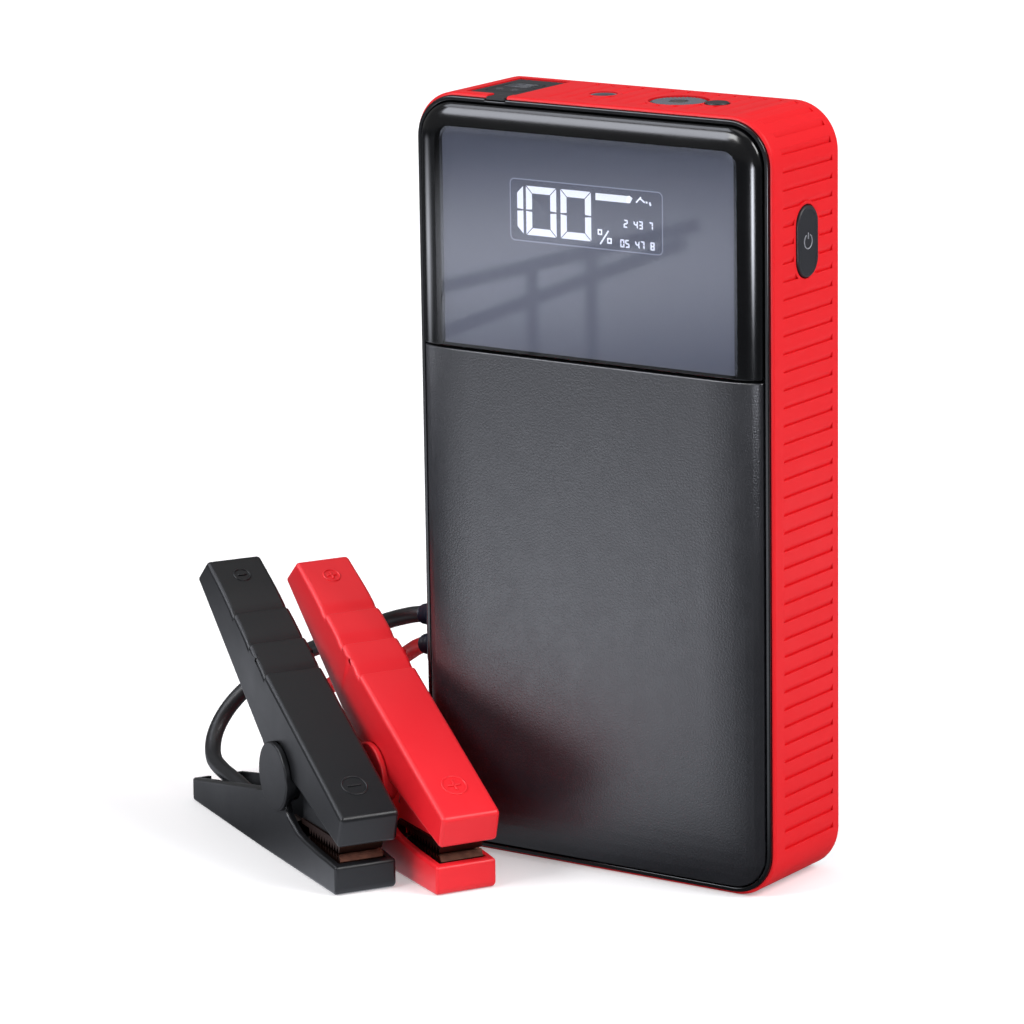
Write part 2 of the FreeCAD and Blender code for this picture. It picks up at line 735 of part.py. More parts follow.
def make_usb_c():
    top = port_floor_z - fit_gap
    z0 = top - usb_small_len
    w = usb_wall
    r = usb_small_t / 2 - 0.01
    shell = rounded_block(cover_x - usb_small_w / 2, cover_x + usb_small_w / 2,
                          usb_small_y - usb_small_t / 2, usb_small_y + usb_small_t / 2,
                          z0, top, r, "z")
    inner = rounded_block(cover_x - usb_small_w / 2 + w, cover_x + usb_small_w / 2 - w,
                          usb_small_y - usb_small_t / 2 + w, usb_small_y + usb_small_t / 2 - w,
                          z0 + 1.5, top + 1, r - w, "z")
    tongue = block(cover_x - 3.2, cover_x + 3.2, usb_small_y - 0.35, usb_small_y + 0.35,
                   z0 + 1, top - 1.0)
    return shell.cut(inner).fuse(tongue)


def make_port_cover():
    plate = block(port_x0, port_x1, port_y0, bead_y, port_top - port_t, port_top)
    plate = plate.makeFillet(1.8, [e for e in plate.Edges
                                   if abs(e.tangentAt(e.FirstParameter).z) > 0.9
                                   and e.CenterOfMass.y < 0])
    rims = [e for e in plate.Edges if e.CenterOfMass.z > port_top - 0.01
            and e.CenterOfMass.y < bead_y - 0.5]
    plate = plate.makeFillet(0.35, rims)
    bead = rod(bead_r, (port_x0, bead_y, bead_z), (1, 0, 0), port_w)
    pin = rod(hinge_r, (port_x0 - hinge_reach, bead_y, bead_z), (1, 0, 0),
              port_w + 2 * hinge_reach)
    tab = block(tab_x - tab_w / 2, tab_x + tab_w / 2, front_y - rim_proud + 0.2, port_y0 + 1,
                port_top - tab_t, port_top - 0.1)
    foot = port_floor_z - 0.5
    large = block(cover_x - 5.2, cover_x + 5.2, usb_y - 1.8, usb_y + 1.8, foot, port_top - 1)
    small = block(cover_x - 3.4, cover_x + 3.4, usb_small_y - 0.6, usb_small_y + 0.6,
                  foot, port_top - 1)
    return plate.fuse([bead, pin, tab, large, small])


def make_dc_socket():
    half = charge_body / 2
    body = block(charge_x - half, charge_x + half, -half, half, on_board, top_in - fit_gap)
    barrel = rod(charge_r, (charge_x, 0, top_in - 1), (0, 0, 1), band_wall + 1 - 0.3)
    bore = rod(charge_bore_r, (charge_x, 0, case_h - 10), (0, 0, 1), 12)
    pin = rod(charge_pin_r, (charge_x, 0, case_h - 11), (0, 0, 1), 9.0)
    return body.fuse(barrel).cut(bore).fuse(pin)


def make_torch_lens():
    top = case_h - 0.3
    disc = rod(torch_r - fit_gap, (torch_x, 0, top - torch_lens_t), (0, 0, 1), torch_lens_t)
    return disc.makeFillet(0.4, [e for e in disc.Edges if e.CenterOfMass.z > top - 0.01
                                 and e.Curve.TypeId == "Part::GeomCircle"])


def make_torch_reflector():
    top = case_h - 0.3 - torch_lens_t - fit_gap
    r = torch_r - fit_gap
    base = on_board - top
    led = torch_led_r + 0.2
    profile = [(r, 0), (r, base), (r - 1, base), (r - 1, base + 3.4), (led, base + 3.4),
               (led, base + 4.4), (3.8, -7.2), (4.8, -5.2), (5.7, -2.7), (6.5, 0)]
    return turned(profile, (torch_x, 0, top), (0, 0, 1))


def make_torch_led():
    stem = rod(torch_led_r, (torch_x, 0, on_board), (0, 0, 1), 4.6)
    dome = Part.makeSphere(torch_led_r, V(torch_x, 0, on_board + 4.6))
    base = block(torch_x - 3, torch_x + 3, -3, 3, on_board, on_board + 1.2)
    return base.fuse([stem, dome])


switch_top = on_board + switch_t + switch_stub


def make_torch_button():
    cap = rod(torch_button_r, (torch_button_x, 0, top_in - slide_gap - flange_t), (0, 0, 1),
              band_wall + slide_gap + flange_t + torch_button_proud)
    cap = cap.makeFillet(0.4, [e for e in cap.Edges if e.CenterOfMass.z > case_h
                               and e.Curve.TypeId == "Part::GeomCircle"])
    z0 = top_in - slide_gap - flange_t
    flange = block(torch_button_x - torch_button_r + 0.2, torch_button_x + torch_button_r - 0.2,
                   -torch_button_r - button_flange, torch_button_r + button_flange,
                   z0, z0 + flange_t)
    stem = rod(stem_r, (torch_button_x, 0, switch_top + push_gap), (0, 0, 1),
               z0 - switch_top - push_gap + 0.5)
    return cap.fuse([flange, stem])


def make_torch_switch():
    half = top_switch_w / 2
    body = block(torch_button_x - half, torch_button_x + half, -half, half, on_board,
                 on_board + switch_t)
    return body.fuse(rod(1.2, (torch_button_x, 0, on_board), (0, 0, 1), switch_t + switch_stub))


# Power button in the right side
def make_side_board():
    return block(side_board_x - board_t, side_board_x, -7, 7, button_z - 9, button_z + 9)


def make_power_switch():
    half = switch_body / 2
    body = block(side_board_x + fit_gap, side_board_x + fit_gap + switch_t, -half, half,
                 button_z - half, button_z + half)
    return body.fuse(rod(1.6, (side_board_x + fit_gap, 0, button_z), (1, 0, 0),
                         switch_t + switch_stub))


def make_power_button():
    x0 = button_x0
    cap = stadium(button_w, button_h, x0, side_x + button_proud, 0, button_z)
    cap = cap.makeFillet(0.5, [e for e in cap.Edges
                               if abs(e.CenterOfMass.x - side_x - button_proud) < 0.01])
    f = 2 * button_flange
    flange = stadium(button_w + f, button_h + f, x0, x0 + flange_t, 0, button_z)
    stem = rod(stem_r, (x0 - stem_len, 0, button_z), (1, 0, 0), stem_len + 0.5)
    return cap.fuse([flange, stem])


# Jump socket and plug
plug_x1 = fit_gap * 2 - side_x + plug_in        # inner end of the plug
contact_x = plug_x1 + fit_gap
jump_zs = (jump_z + jump_pitch / 2, jump_z - jump_pitch / 2)


def make_jump_socket():
    body = jump_block(-side_x, socket_x1, 0, plug_r + socket_wall)
    mouth = rounded_block(-side_x - 1, contact_x, jump_y - plug_t / 2 - fit_gap,
                          jump_y + plug_t / 2 + fit_gap, jump_z - plug_w / 2 - fit_gap,
                          jump_z + plug_w / 2 + fit_gap, plug_r)
    bores = [rod(contact_r + fit_gap, (contact_x - 1, jump_y, z), (1, 0, 0), socket_len)
             for z in jump_zs]
    return body.cut([mouth] + bores)


bar_xs = (socket_x1 + 0.2, socket_x1 + 1.4)     # near face of each busbar
bar_t = 0.8


def make_jump_contacts():
    parts = []
    for z, bar_x in zip(jump_zs, bar_xs):
        body = rod(contact_r, (contact_x + fit_gap, jump_y, z), (1, 0, 0),
                   socket_x1 - contact_x - 2 * fit_gap)
        pin = rod(contact_pin_r, (contact_x - 6.5, jump_y, z), (1, 0, 0), 8)
        tail = rod(contact_pin_r, (socket_x1 - 2, jump_y, z), (1, 0, 0), bar_x + bar_t - socket_x1 + 2)
        parts.append(body.fuse([pin, tail]))
    return Part.makeCompound(parts)


def make_busbars():
    high, low = jump_zs
    bars = []
    for z, x, y0, y1, up_y0, up_y1 in ((high, bar_xs[0], jump_y + 0.4, 7.6, board_back, 7.6),
                                       (low, bar_xs[1], -1.6, jump_y - 0.4, -1.6, 2.6)):
        tab = block(x, x + bar_t, -1.6, 7.6, z - 3.2, z + 3.2)
        rise = block(x, x + bar_t, y0, y1, z, main_board_z0 - 1)
        foot = block(x, x + bar_t, up_y0, up_y1, main_board_z0 - 4, main_board_z0 + 5)
        bar = tab.fuse([rise, foot])
        bars.append(bar.cut(rod(contact_pin_r + fit_gap, (x - 1, jump_y, z), (1, 0, 0), 3)))
    return Part.makeCompound(bars)


plug_x0 = -side_x - plug_out


def make_jump_plug():
    core = rounded_block(plug_x0 + 1, plug_x1, jump_y - plug_t / 2, jump_y + plug_t / 2,
                         jump_z - plug_w / 2, jump_z + plug_w / 2, plug_r)
    grip = jump_block(plug_x0, -side_x - 0.2, -0.6, plug_r + 0.6)
    grip = grip.makeFillet(0.8, [e for e in grip.Edges if abs(e.CenterOfMass.x - plug_x0) < 0.01])
    ribs = []
    for k in range(plug_ribs):
        x = plug_x0 + plug_rib_x + k * plug_rib_pitch
        outer = jump_block(x, x + 1.0, 1, plug_r + 0.6)
        ribs.append(outer.cut(jump_block(x - 1, x + 2, -1.1, plug_r + 0.1)))
    holes = []
    for z in jump_zs:
        holes.append(rod(lead_r + fit_gap, (plug_x0 - 1, jump_y, z), (1, 0, 0), lead_bore + 1))
        holes.append(rod(contact_pin_r + fit_gap, (contact_x - 7.5, jump_y, z), (1, 0, 0), 9))
    return core.fuse(grip).cut(ribs + holes)


# Clamps
def plan_taper(half):
    """Plan of a clamp shell: full width to behind the pivot, then drawn in to the rear."""
    start = pivot_x + 13
    end = half - jaw_taper
    return [(-10, -half), (start, -half), (jaw_len, -end), (jaw_len, end),
            (start, half), (-10, half)]


def both_sides(y0, y1, shape_of):
    return [shape_of(y0, y1), shape_of(-y1, -y0)]


def disc(radius, y0, y1):
    return rod(radius, (pivot_x, y0, pivot_z), (0, 1, 0), y1 - y0)


def make_lower_jaw():
    top = [(0, tip_h), (4.2, 7.8), (10.8, 8.2), (17.4, 8.9), (20.6, 9.3), (24.0, 10.0),
           (26.5, 11.2), (29.1, 12.8), (30.7, 14.5), (31.5, 16.5), (41.5, 16.5), (49.4, 15.2),
           (65.1, 12.0), (76.6, 9.6), (jaw_len, heel_h)]
    shell = side_prism([(1.0, 0)] + [(0, 1.0)] + top + [(jaw_len, 0)], -jaw_half, jaw_half)
    shell = shell.common(plan_prism(plan_taper(jaw_half), -1, 40))
    ears = both_sides(jaw_half - jaw_wall, jaw_half, lambda a, b: disc(ear_r, a, b))
    shell = shell.fuse(ears)
    inner = jaw_half - jaw_wall
    pocket = block(2, nose_x + 1, -inner, inner, seat_z, 40)
    channel = plan_prism(plan_taper(inner), jaw_wall, 40)
    channel = channel.common(block(nose_x, jaw_len - jaw_wall, -inner, inner, jaw_wall, 40))
    notch_r = lead_r + 0.6
    notch = rod(notch_r, (jaw_len - 3, 0, lead_z), (1, 0, 0), 6)
    slot = block(jaw_len - 3, jaw_len + 3, -notch_r, notch_r, lead_z, 20)
    bore = disc(pin_r + pin_gap, -20, 20)
    rivet = rod(rivet_r + 0.02, (rivet_x, 0, 2.9), (0, 0, 1), 10)
    return shell.cut([pocket, channel, notch, slot, bore, rivet])


def roof(x):
    slope = (handle_rear[1] - handle_tip[1]) / (handle_rear[0] - handle_tip[0])
    return handle_tip[1] + slope * (x - handle_tip[0])


def make_handle():
    top = [handle_tip]
    for x in finger_x[::-1]:
        top.append((x, roof(x)))
        top.append((x + 0.5, roof(x) - finger_depth))
        top.append((x + finger_run, roof(x + finger_run)))
    top += [handle_rear, handle_heel]
    under = [(45.8, 28.2), (42, 24), (pivot_x, 23), (28.5, 23), (21.6, 20.4), handle_chin]
    shell = side_prism(top + under, -handle_half, handle_half)
    shell = shell.common(plan_prism(plan_taper(handle_half), 0, 90))
    inner = handle_half - jaw_wall
    hollow = side_prism([(24, 5), (24, roof(24) - 2.2), (80.1, roof(80.1) - 2.3), (86.1, 59.2),
                         (90, 50), (60, 5)], -inner, inner)
    shell = shell.cut(hollow.common(plan_prism(plan_taper(inner), 0, 90)))
    shell = shell.cut(both_sides(inner, jaw_half + 1, lambda a, b: disc(cap_r, a, b)))
    rear_pad = [(36, 18), (39, 19.5), (44, 24), (50, 31), (50, 42), (43, 37), (40.3, 29),
                (40.3, 26.4), (36, 24)]
    front_pad = [(34, 19), (28, 21.5), (24.3, 24), (24.3, 33), (33, 33), (33, 27.4), (34, 24)]
    pads = []
    for outline_of in (rear_pad, front_pad):
        pads += both_sides(inner - pad_t, inner,
                           lambda a, b: side_prism(outline_of, a, b))
    pads += both_sides(inner - pad_t, inner, lambda a, b: disc(6.5, a, b))
    seat_top = upper_back + fit_gap
    seat = side_prism([(0.8, seat_top), (nose_x, seat_top), (nose_x, 20.4), (22.5, 21.5),
                       (8, 17.5), (0.8, 15)], -5.2, 5.2)
    shell = shell.fuse(pads + [seat])
    rivet = rod(rivet_r + 0.02, (rivet_x, 0, seat_top - 1), (0, 0, 1), 6.1)
    return shell.cut([disc(pin_r + pin_gap, -20, 20), rivet])


lower_face = seat_z + fit_gap + contact_t                       # roots of the lower teeth
upper_face = lower_face + 2 * tooth_h + tooth_gap
upper_back = upper_face + contact_t


def teeth(z, rise):
    """Zigzag of teeth from the tip inwards."""
    points = []
    for k in range(tooth_count):
        x = contact_x0 + k * tooth_pitch
        points.append((x, z))
        points.append((x + tooth_pitch * 0.55, z + rise))
    points.append((contact_x0 + tooth_count * tooth_pitch, z))
    return points


def make_lower_contact():
    back = seat_z + fit_gap
    plate = side_prism([(contact_x0, back)] + teeth(lower_face, tooth_h)
                       + [(nose_x, lower_face), (nose_x, back)], -contact_half, contact_half)
    tail = side_prism([(nose_x - 0.5, back), (nose_x - 0.5, lower_face),
                       (nose_x + 3, lower_face), (barrel_x + 1.5, 3.4),
                       (barrel_x + 1.5, lead_z - barrel_r + 0.3),
                       (barrel_x, lead_z - barrel_r + 0.3), (nose_x + 3, back)], -2.2, 2.2)
    barrel = rod(barrel_r, (barrel_x, 0, lead_z), (1, 0, 0), barrel_len)
    bore = rod(lead_r + 0.05, (barrel_x + 0.4, 0, lead_z), (1, 0, 0), barrel_len)
    rivet = rod(rivet_r + 0.02, (rivet_x, 0, 0), (0, 0, 1), 10)
    return plate.fuse([tail, barrel]).cut([bore, rivet])


def make_upper_contact():
    plate = side_prism([(contact_x0, upper_back)] + teeth(upper_face, -tooth_h)
                       + [(nose_x, upper_face), (nose_x, upper_back)],
                       -contact_half, contact_half)
    return plate.cut(rod(rivet_r + 0.02, (rivet_x, 0, upper_face - 3), (0, 0, 1), 10))


def make_rivet(face, direction):
    """Rivet with its head on a contact's face, pointing into the shell behind it."""
    sign = direction
    head = rod(rivet_head_r, (rivet_x, 0, face - sign * 0.02), (0, 0, -sign), 0.8)
    shank = rod(rivet_r, (rivet_x, 0, face - sign * 0.1), (0, 0, sign), 4.6)
    return head.fuse(shank)


def make_pin():
    return disc(pin_r, -jaw_half, jaw_half)


def make_caps():
    caps = []
    for side in (1, -1):
        y0 = side * (jaw_half + fit_gap)
        cap = rod(cap_r, (pivot_x, y0, pivot_z), (0, side, 0), cap_t)
        cap = cap.makeFillet(0.5, [e for e in cap.Edges
                                   if abs(abs(e.CenterOfMass.y) - jaw_half - fit_gap - cap_t) < 0.01
                                   and e.Curve.TypeId == "Part::GeomCircle"])
        caps.append(cap)
    return Part.makeCompound(caps)


def make_spring(name):
    """Torsion spring round the pin: one leg on the jaw's floor, one under the handle's roof."""
    a0 = math.radians(low_leg)
    a1 = 2 * math.pi * coil_turns
    climb = coil_pitch / (2 * math.pi)
    count = 4 * coil_turns
    middle = (a0 + a1) / 2

    def at(a):
        return V(pivot_x + coil_r * math.cos(a), climb * (a - middle),
                 pivot_z + coil_r * math.sin(a))

    def along(a):
        return V(-coil_r * math.sin(a), climb, coil_r * math.cos(a)).normalize()

    turns = [a0 + (a1 - a0) * k / count for k in range(count + 1)]
    low_len = (at(a0).z - jaw_wall - wire_r - 0.3) / along(a0).z
    roof_x = at(a1).x
    high_len = roof(roof_x) - 2.2 - wire_r - 0.25 - pivot_z
    foot = at(a0) - along(a0) * low_len
    tip = at(a1) + along(a1) * high_len
    edges = [Part.makeLine(foot, at(a0))]
    for p, q in zip(turns, turns[1:]):
        edges += biarc(at(p), along(p), at(q), along(q))
    edges.append(Part.makeLine(at(a1), tip))
    ring = Part.Wire(Part.makeCircle(wire_r, foot, along(a0)))
    spring = Part.Wire(edges).makePipeShell([ring], True, False)
    samples = [(a, at(a)) for a in [a0 + (a1 - a0) * k / 400 for k in range(401)]]
    gap = min((p - q).Length for i, (a, p) in enumerate(samples) for b, q in samples[i + 1:]
              if b - a > math.pi / 2)
    print(name, "least gap to itself", round(gap - 2 * wire_r, 2), "volume", round(spring.Volume, 1))
    return spring


# Write every sub-part
front_crown = crowned(-1, fit_gap)
save("side_band", make_side_band())
save("front_frame", make_front_frame())
save("window_lens", make_window_lens(front_crown))
save("front_cover", make_front_cover(front_crown))
save("display_bezel", make_display_bezel())
save("lcd_module", make_lcd())
save("display_board", make_display_board())
save("rear_shell", make_rear_shell())
save("case_screws", make_case_screws())
for number in range(cell_count):
    save("battery_cell_" + str(number + 1), make_cell(number))
save("cell_tray", make_cell_tray())
save("foam_pad", make_foam_pad())
save("cell_links", make_cell_links())
save("main_board", make_main_board())
save("power_transistors", make_transistors())
save("capacitors", make_capacitors())
save("board_screws", make_board_screws())
save("top_board", make_top_board())
save("port_block", make_port_block())
save("usb_a_socket", make_usb_a())
save("usb_c_socket", make_usb_c())
save("port_cover", make_port_cover())
save("charge_socket", make_dc_socket())
save("torch_lens", make_torch_lens())
save("torch_reflector", make_torch_reflector())
save("torch_led", make_torch_led())
save("torch_button", make_torch_button())
save("torch_switch", make_torch_switch())
save("side_board", make_side_board())
save("power_switch", make_power_switch())
save("power_button", make_power_button())
save("jump_socket", make_jump_socket())
save("jump_contacts", make_jump_contacts())
save("busbars", make_busbars())
save("jump_plug", make_jump_plug())

for colour, place in clamp_places.items():
    save(colour + "_lower_jaw", placed(make_lower_jaw(), place))
    save(colour + "_handle", placed(make_handle(), place))
    save(colour + "_pivot_pin", placed(make_pin(), place))
    save(colour + "_pivot_caps", placed(make_caps(), place))
    save(colour + "_spring", placed(make_spring(colour + " spring"), place))
    save(colour + "_lower_contact", placed(make_lower_contact(), place))
    save(colour + "_upper_contact", placed(make_upper_contact(), place))
    save(colour + "_lower_rivet", placed(make_rivet(lower_face, -1), place))
    save(colour + "_upper_rivet", placed(make_rivet(upper_face, 1), place))
    save(colour + "_lead", lead_tube(lead_points[colour], lead_r, colour + " lead"))

for name, solids, volume, valid in written:
    print(name, solids, round(volume, 1), "" if valid else "NOT VALID")
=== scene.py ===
import json
import math

import bmesh
import bpy
from mathutils import Matrix, Vector


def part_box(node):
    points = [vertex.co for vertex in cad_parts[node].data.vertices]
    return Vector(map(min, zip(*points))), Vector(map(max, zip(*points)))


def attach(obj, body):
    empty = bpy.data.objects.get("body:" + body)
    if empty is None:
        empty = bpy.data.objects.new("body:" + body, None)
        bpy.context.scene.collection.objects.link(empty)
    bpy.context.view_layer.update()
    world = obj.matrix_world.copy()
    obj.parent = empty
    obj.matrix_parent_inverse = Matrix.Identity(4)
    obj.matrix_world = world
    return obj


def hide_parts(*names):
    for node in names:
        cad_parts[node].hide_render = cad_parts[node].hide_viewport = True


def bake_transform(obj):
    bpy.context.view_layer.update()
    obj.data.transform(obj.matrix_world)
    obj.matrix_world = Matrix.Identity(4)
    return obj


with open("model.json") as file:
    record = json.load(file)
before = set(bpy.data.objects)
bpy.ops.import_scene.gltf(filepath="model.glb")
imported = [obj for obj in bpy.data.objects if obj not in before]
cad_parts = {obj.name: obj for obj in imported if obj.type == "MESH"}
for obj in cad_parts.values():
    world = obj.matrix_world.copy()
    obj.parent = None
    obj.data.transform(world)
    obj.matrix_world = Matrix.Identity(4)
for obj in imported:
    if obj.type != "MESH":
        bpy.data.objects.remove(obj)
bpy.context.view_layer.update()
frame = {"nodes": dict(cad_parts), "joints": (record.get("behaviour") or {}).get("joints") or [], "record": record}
nodes = frame["nodes"]
joints = {joint["name"]: joint for joint in frame["joints"]}
slotOf = {part["node"]: part["material_slot"] for part in frame["record"]["subparts"]}
mm = 0.001


def addObject(name, data):
    made = bpy.data.objects.new(name, data)
    bpy.context.scene.collection.objects.link(made)
    return made


# camera, at the photograph's place and angle
camera = {
    "place": (0.6850, -1.0527, 0.3822),
    "azimuth": 34.36,
    "pitch": 13.20,  # degrees below the horizon
    "roll": -0.88,
    "lens": 185.4,
    "sensor": 36,
    "clip": (0.05, 50),
}
cameraData = bpy.data.cameras.new("camera")
cameraData.lens = camera["lens"]
cameraData.sensor_width = camera["sensor"]
cameraData.clip_start, cameraData.clip_end = camera["clip"]
cameraObject = addObject("camera", cameraData)
cameraObject.matrix_world = (
    Matrix.Translation(camera["place"])
    @ Matrix.Rotation(math.radians(camera["azimuth"]), 4, "Z")
    @ Matrix.Rotation(math.radians(90 - camera["pitch"]), 4, "X")
    @ Matrix.Rotation(math.radians(camera["roll"]), 4, "Z")
)
bpy.context.scene.camera = cameraObject
print("camera placed")


# from a hex colour to the linear channels of a shader
def linear(hexColour):
    channels = [int(hexColour[i : i + 2], 16) / 255 for i in (1, 3, 5)]
    return (*[c / 12.92 if c <= 0.04045 else ((c + 0.055) / 1.055) ** 2.4 for c in channels], 1.0)


def addNode(tree, kind, settings=None, links=None):
    node = tree.nodes.new(f"ShaderNode{kind}")
    for name, value in (settings or {}).items():
        if isinstance(name, int) or name in node.inputs:
            node.inputs[name].default_value = value
        else:
            setattr(node, name, value)
    for name, socket in (links or {}).items():
        tree.links.new(socket, node.inputs[name])
    return node


def startMaterial(name):
    material = bpy.data.materials.new(name)
    material.use_nodes = True
    material.node_tree.nodes.clear()
    return material, material.node_tree


leather = {"crease": 0.28, "fine": 2.2, "fine share": 0.5}


# the surface's height for each way of making it, as a socket
def grainOf(tree, place, look):
    scale = 1 / (look.get("grainMm", 0.5) * mm)
    kind = look.get("grain", "spark")
    if kind == "leather":  # rounded cells between thin creases, broken up by a finer noise
        cells = addNode(
            tree,
            "TexVoronoi",
            {"feature": "DISTANCE_TO_EDGE", "Scale": scale},
            {"Vector": place},
        )
        rounded = addNode(
            tree,
            "MapRange",
            {"interpolation_type": "SMOOTHSTEP", "From Max": leather["crease"]},
            {"Value": cells.outputs["Distance"]},
        )
        fine = addNode(
            tree,
            "TexNoise",
            {"Scale": leather["fine"] * scale, "Detail": 2.0},
            {"Vector": place},
        )
        mixed = addNode(
            tree,
            "Math",
            {"operation": "MULTIPLY_ADD", 1: leather["fine share"]},
            {0: fine.outputs["Fac"], 2: rounded.outputs["Result"]},
        )
        return mixed.outputs["Value"]
    if kind == "cells":  # open cells of a foam
        cells = addNode(tree, "TexVoronoi", {"Scale": scale}, {"Vector": place})
        return cells.outputs["Distance"]
    if kind == "drawn":  # fine lines along one axis, left by a die or a press
        stretch = addNode(tree, "Mapping", {"Scale": look["along"]}, {"Vector": place})
        place = stretch.outputs["Vector"]
    noise = addNode(tree, "TexNoise", {"Scale": scale, "Detail": 3.0, "Roughness": 0.6}, {"Vector": place})
    return noise.outputs["Fac"]


# one solid finish: colour in soft patches, a roughness that wanders, and its grain as height
def makeFinish(name, look):
    material, tree = startMaterial(name)
    place = addNode(tree, "TexCoord").outputs["Object"]
    patches = addNode(
        tree,
        "TexNoise",
        {"Scale": 1 / (look.get("patchMm", 12) * mm), "Detail": 3.0, "Roughness": 0.55},
        {"Vector": place},
    )
    tint = addNode(
        tree,
        "Mix",
        {"data_type": "RGBA", 6: linear(look["colour"]), 7: linear(look.get("shade", look["colour"]))},
        {0: patches.outputs["Fac"]},
    )
    rough = look["roughness"]
    spread = look.get("spread", 0.04)
    gloss = addNode(
        tree,
        "MapRange",
        {"From Min": 0.3, "From Max": 0.7, "To Min": rough - spread, "To Max": rough + spread},
        {"Value": patches.outputs["Fac"]},
    )
    bump = addNode(
        tree,
        "Bump",
        {"Strength": look.get("strength", 0.5), "Distance": look.get("heightMm", 0.02) * mm},
        {"Height": grainOf(tree, place, look)},
    )
    surface = addNode(
        tree,
        "BsdfPrincipled",
        look.get("sockets", {}),
        {
            "Base Color": tint.outputs[2],
            "Roughness": gloss.outputs["Result"],
            "Normal": bump.outputs["Normal"],
        },
    )
    shown = surface.outputs["BSDF"]
    if "lampsPass" in look:  # glass that lets the lamps through, tinted
        rays = addNode(tree, "LightPath")
        shadow = addNode(tree, "BsdfTransparent", {"Color": linear(look["lampsPass"])})
        both = addNode(
            tree,
            "MixShader",
            links={0: rays.outputs["Is Shadow Ray"], 1: shown, 2: shadow.outputs["BSDF"]},
        )
        shown = both.outputs["Shader"]
    addNode(tree, "OutputMaterial", links={"Surface": shown})
    return material


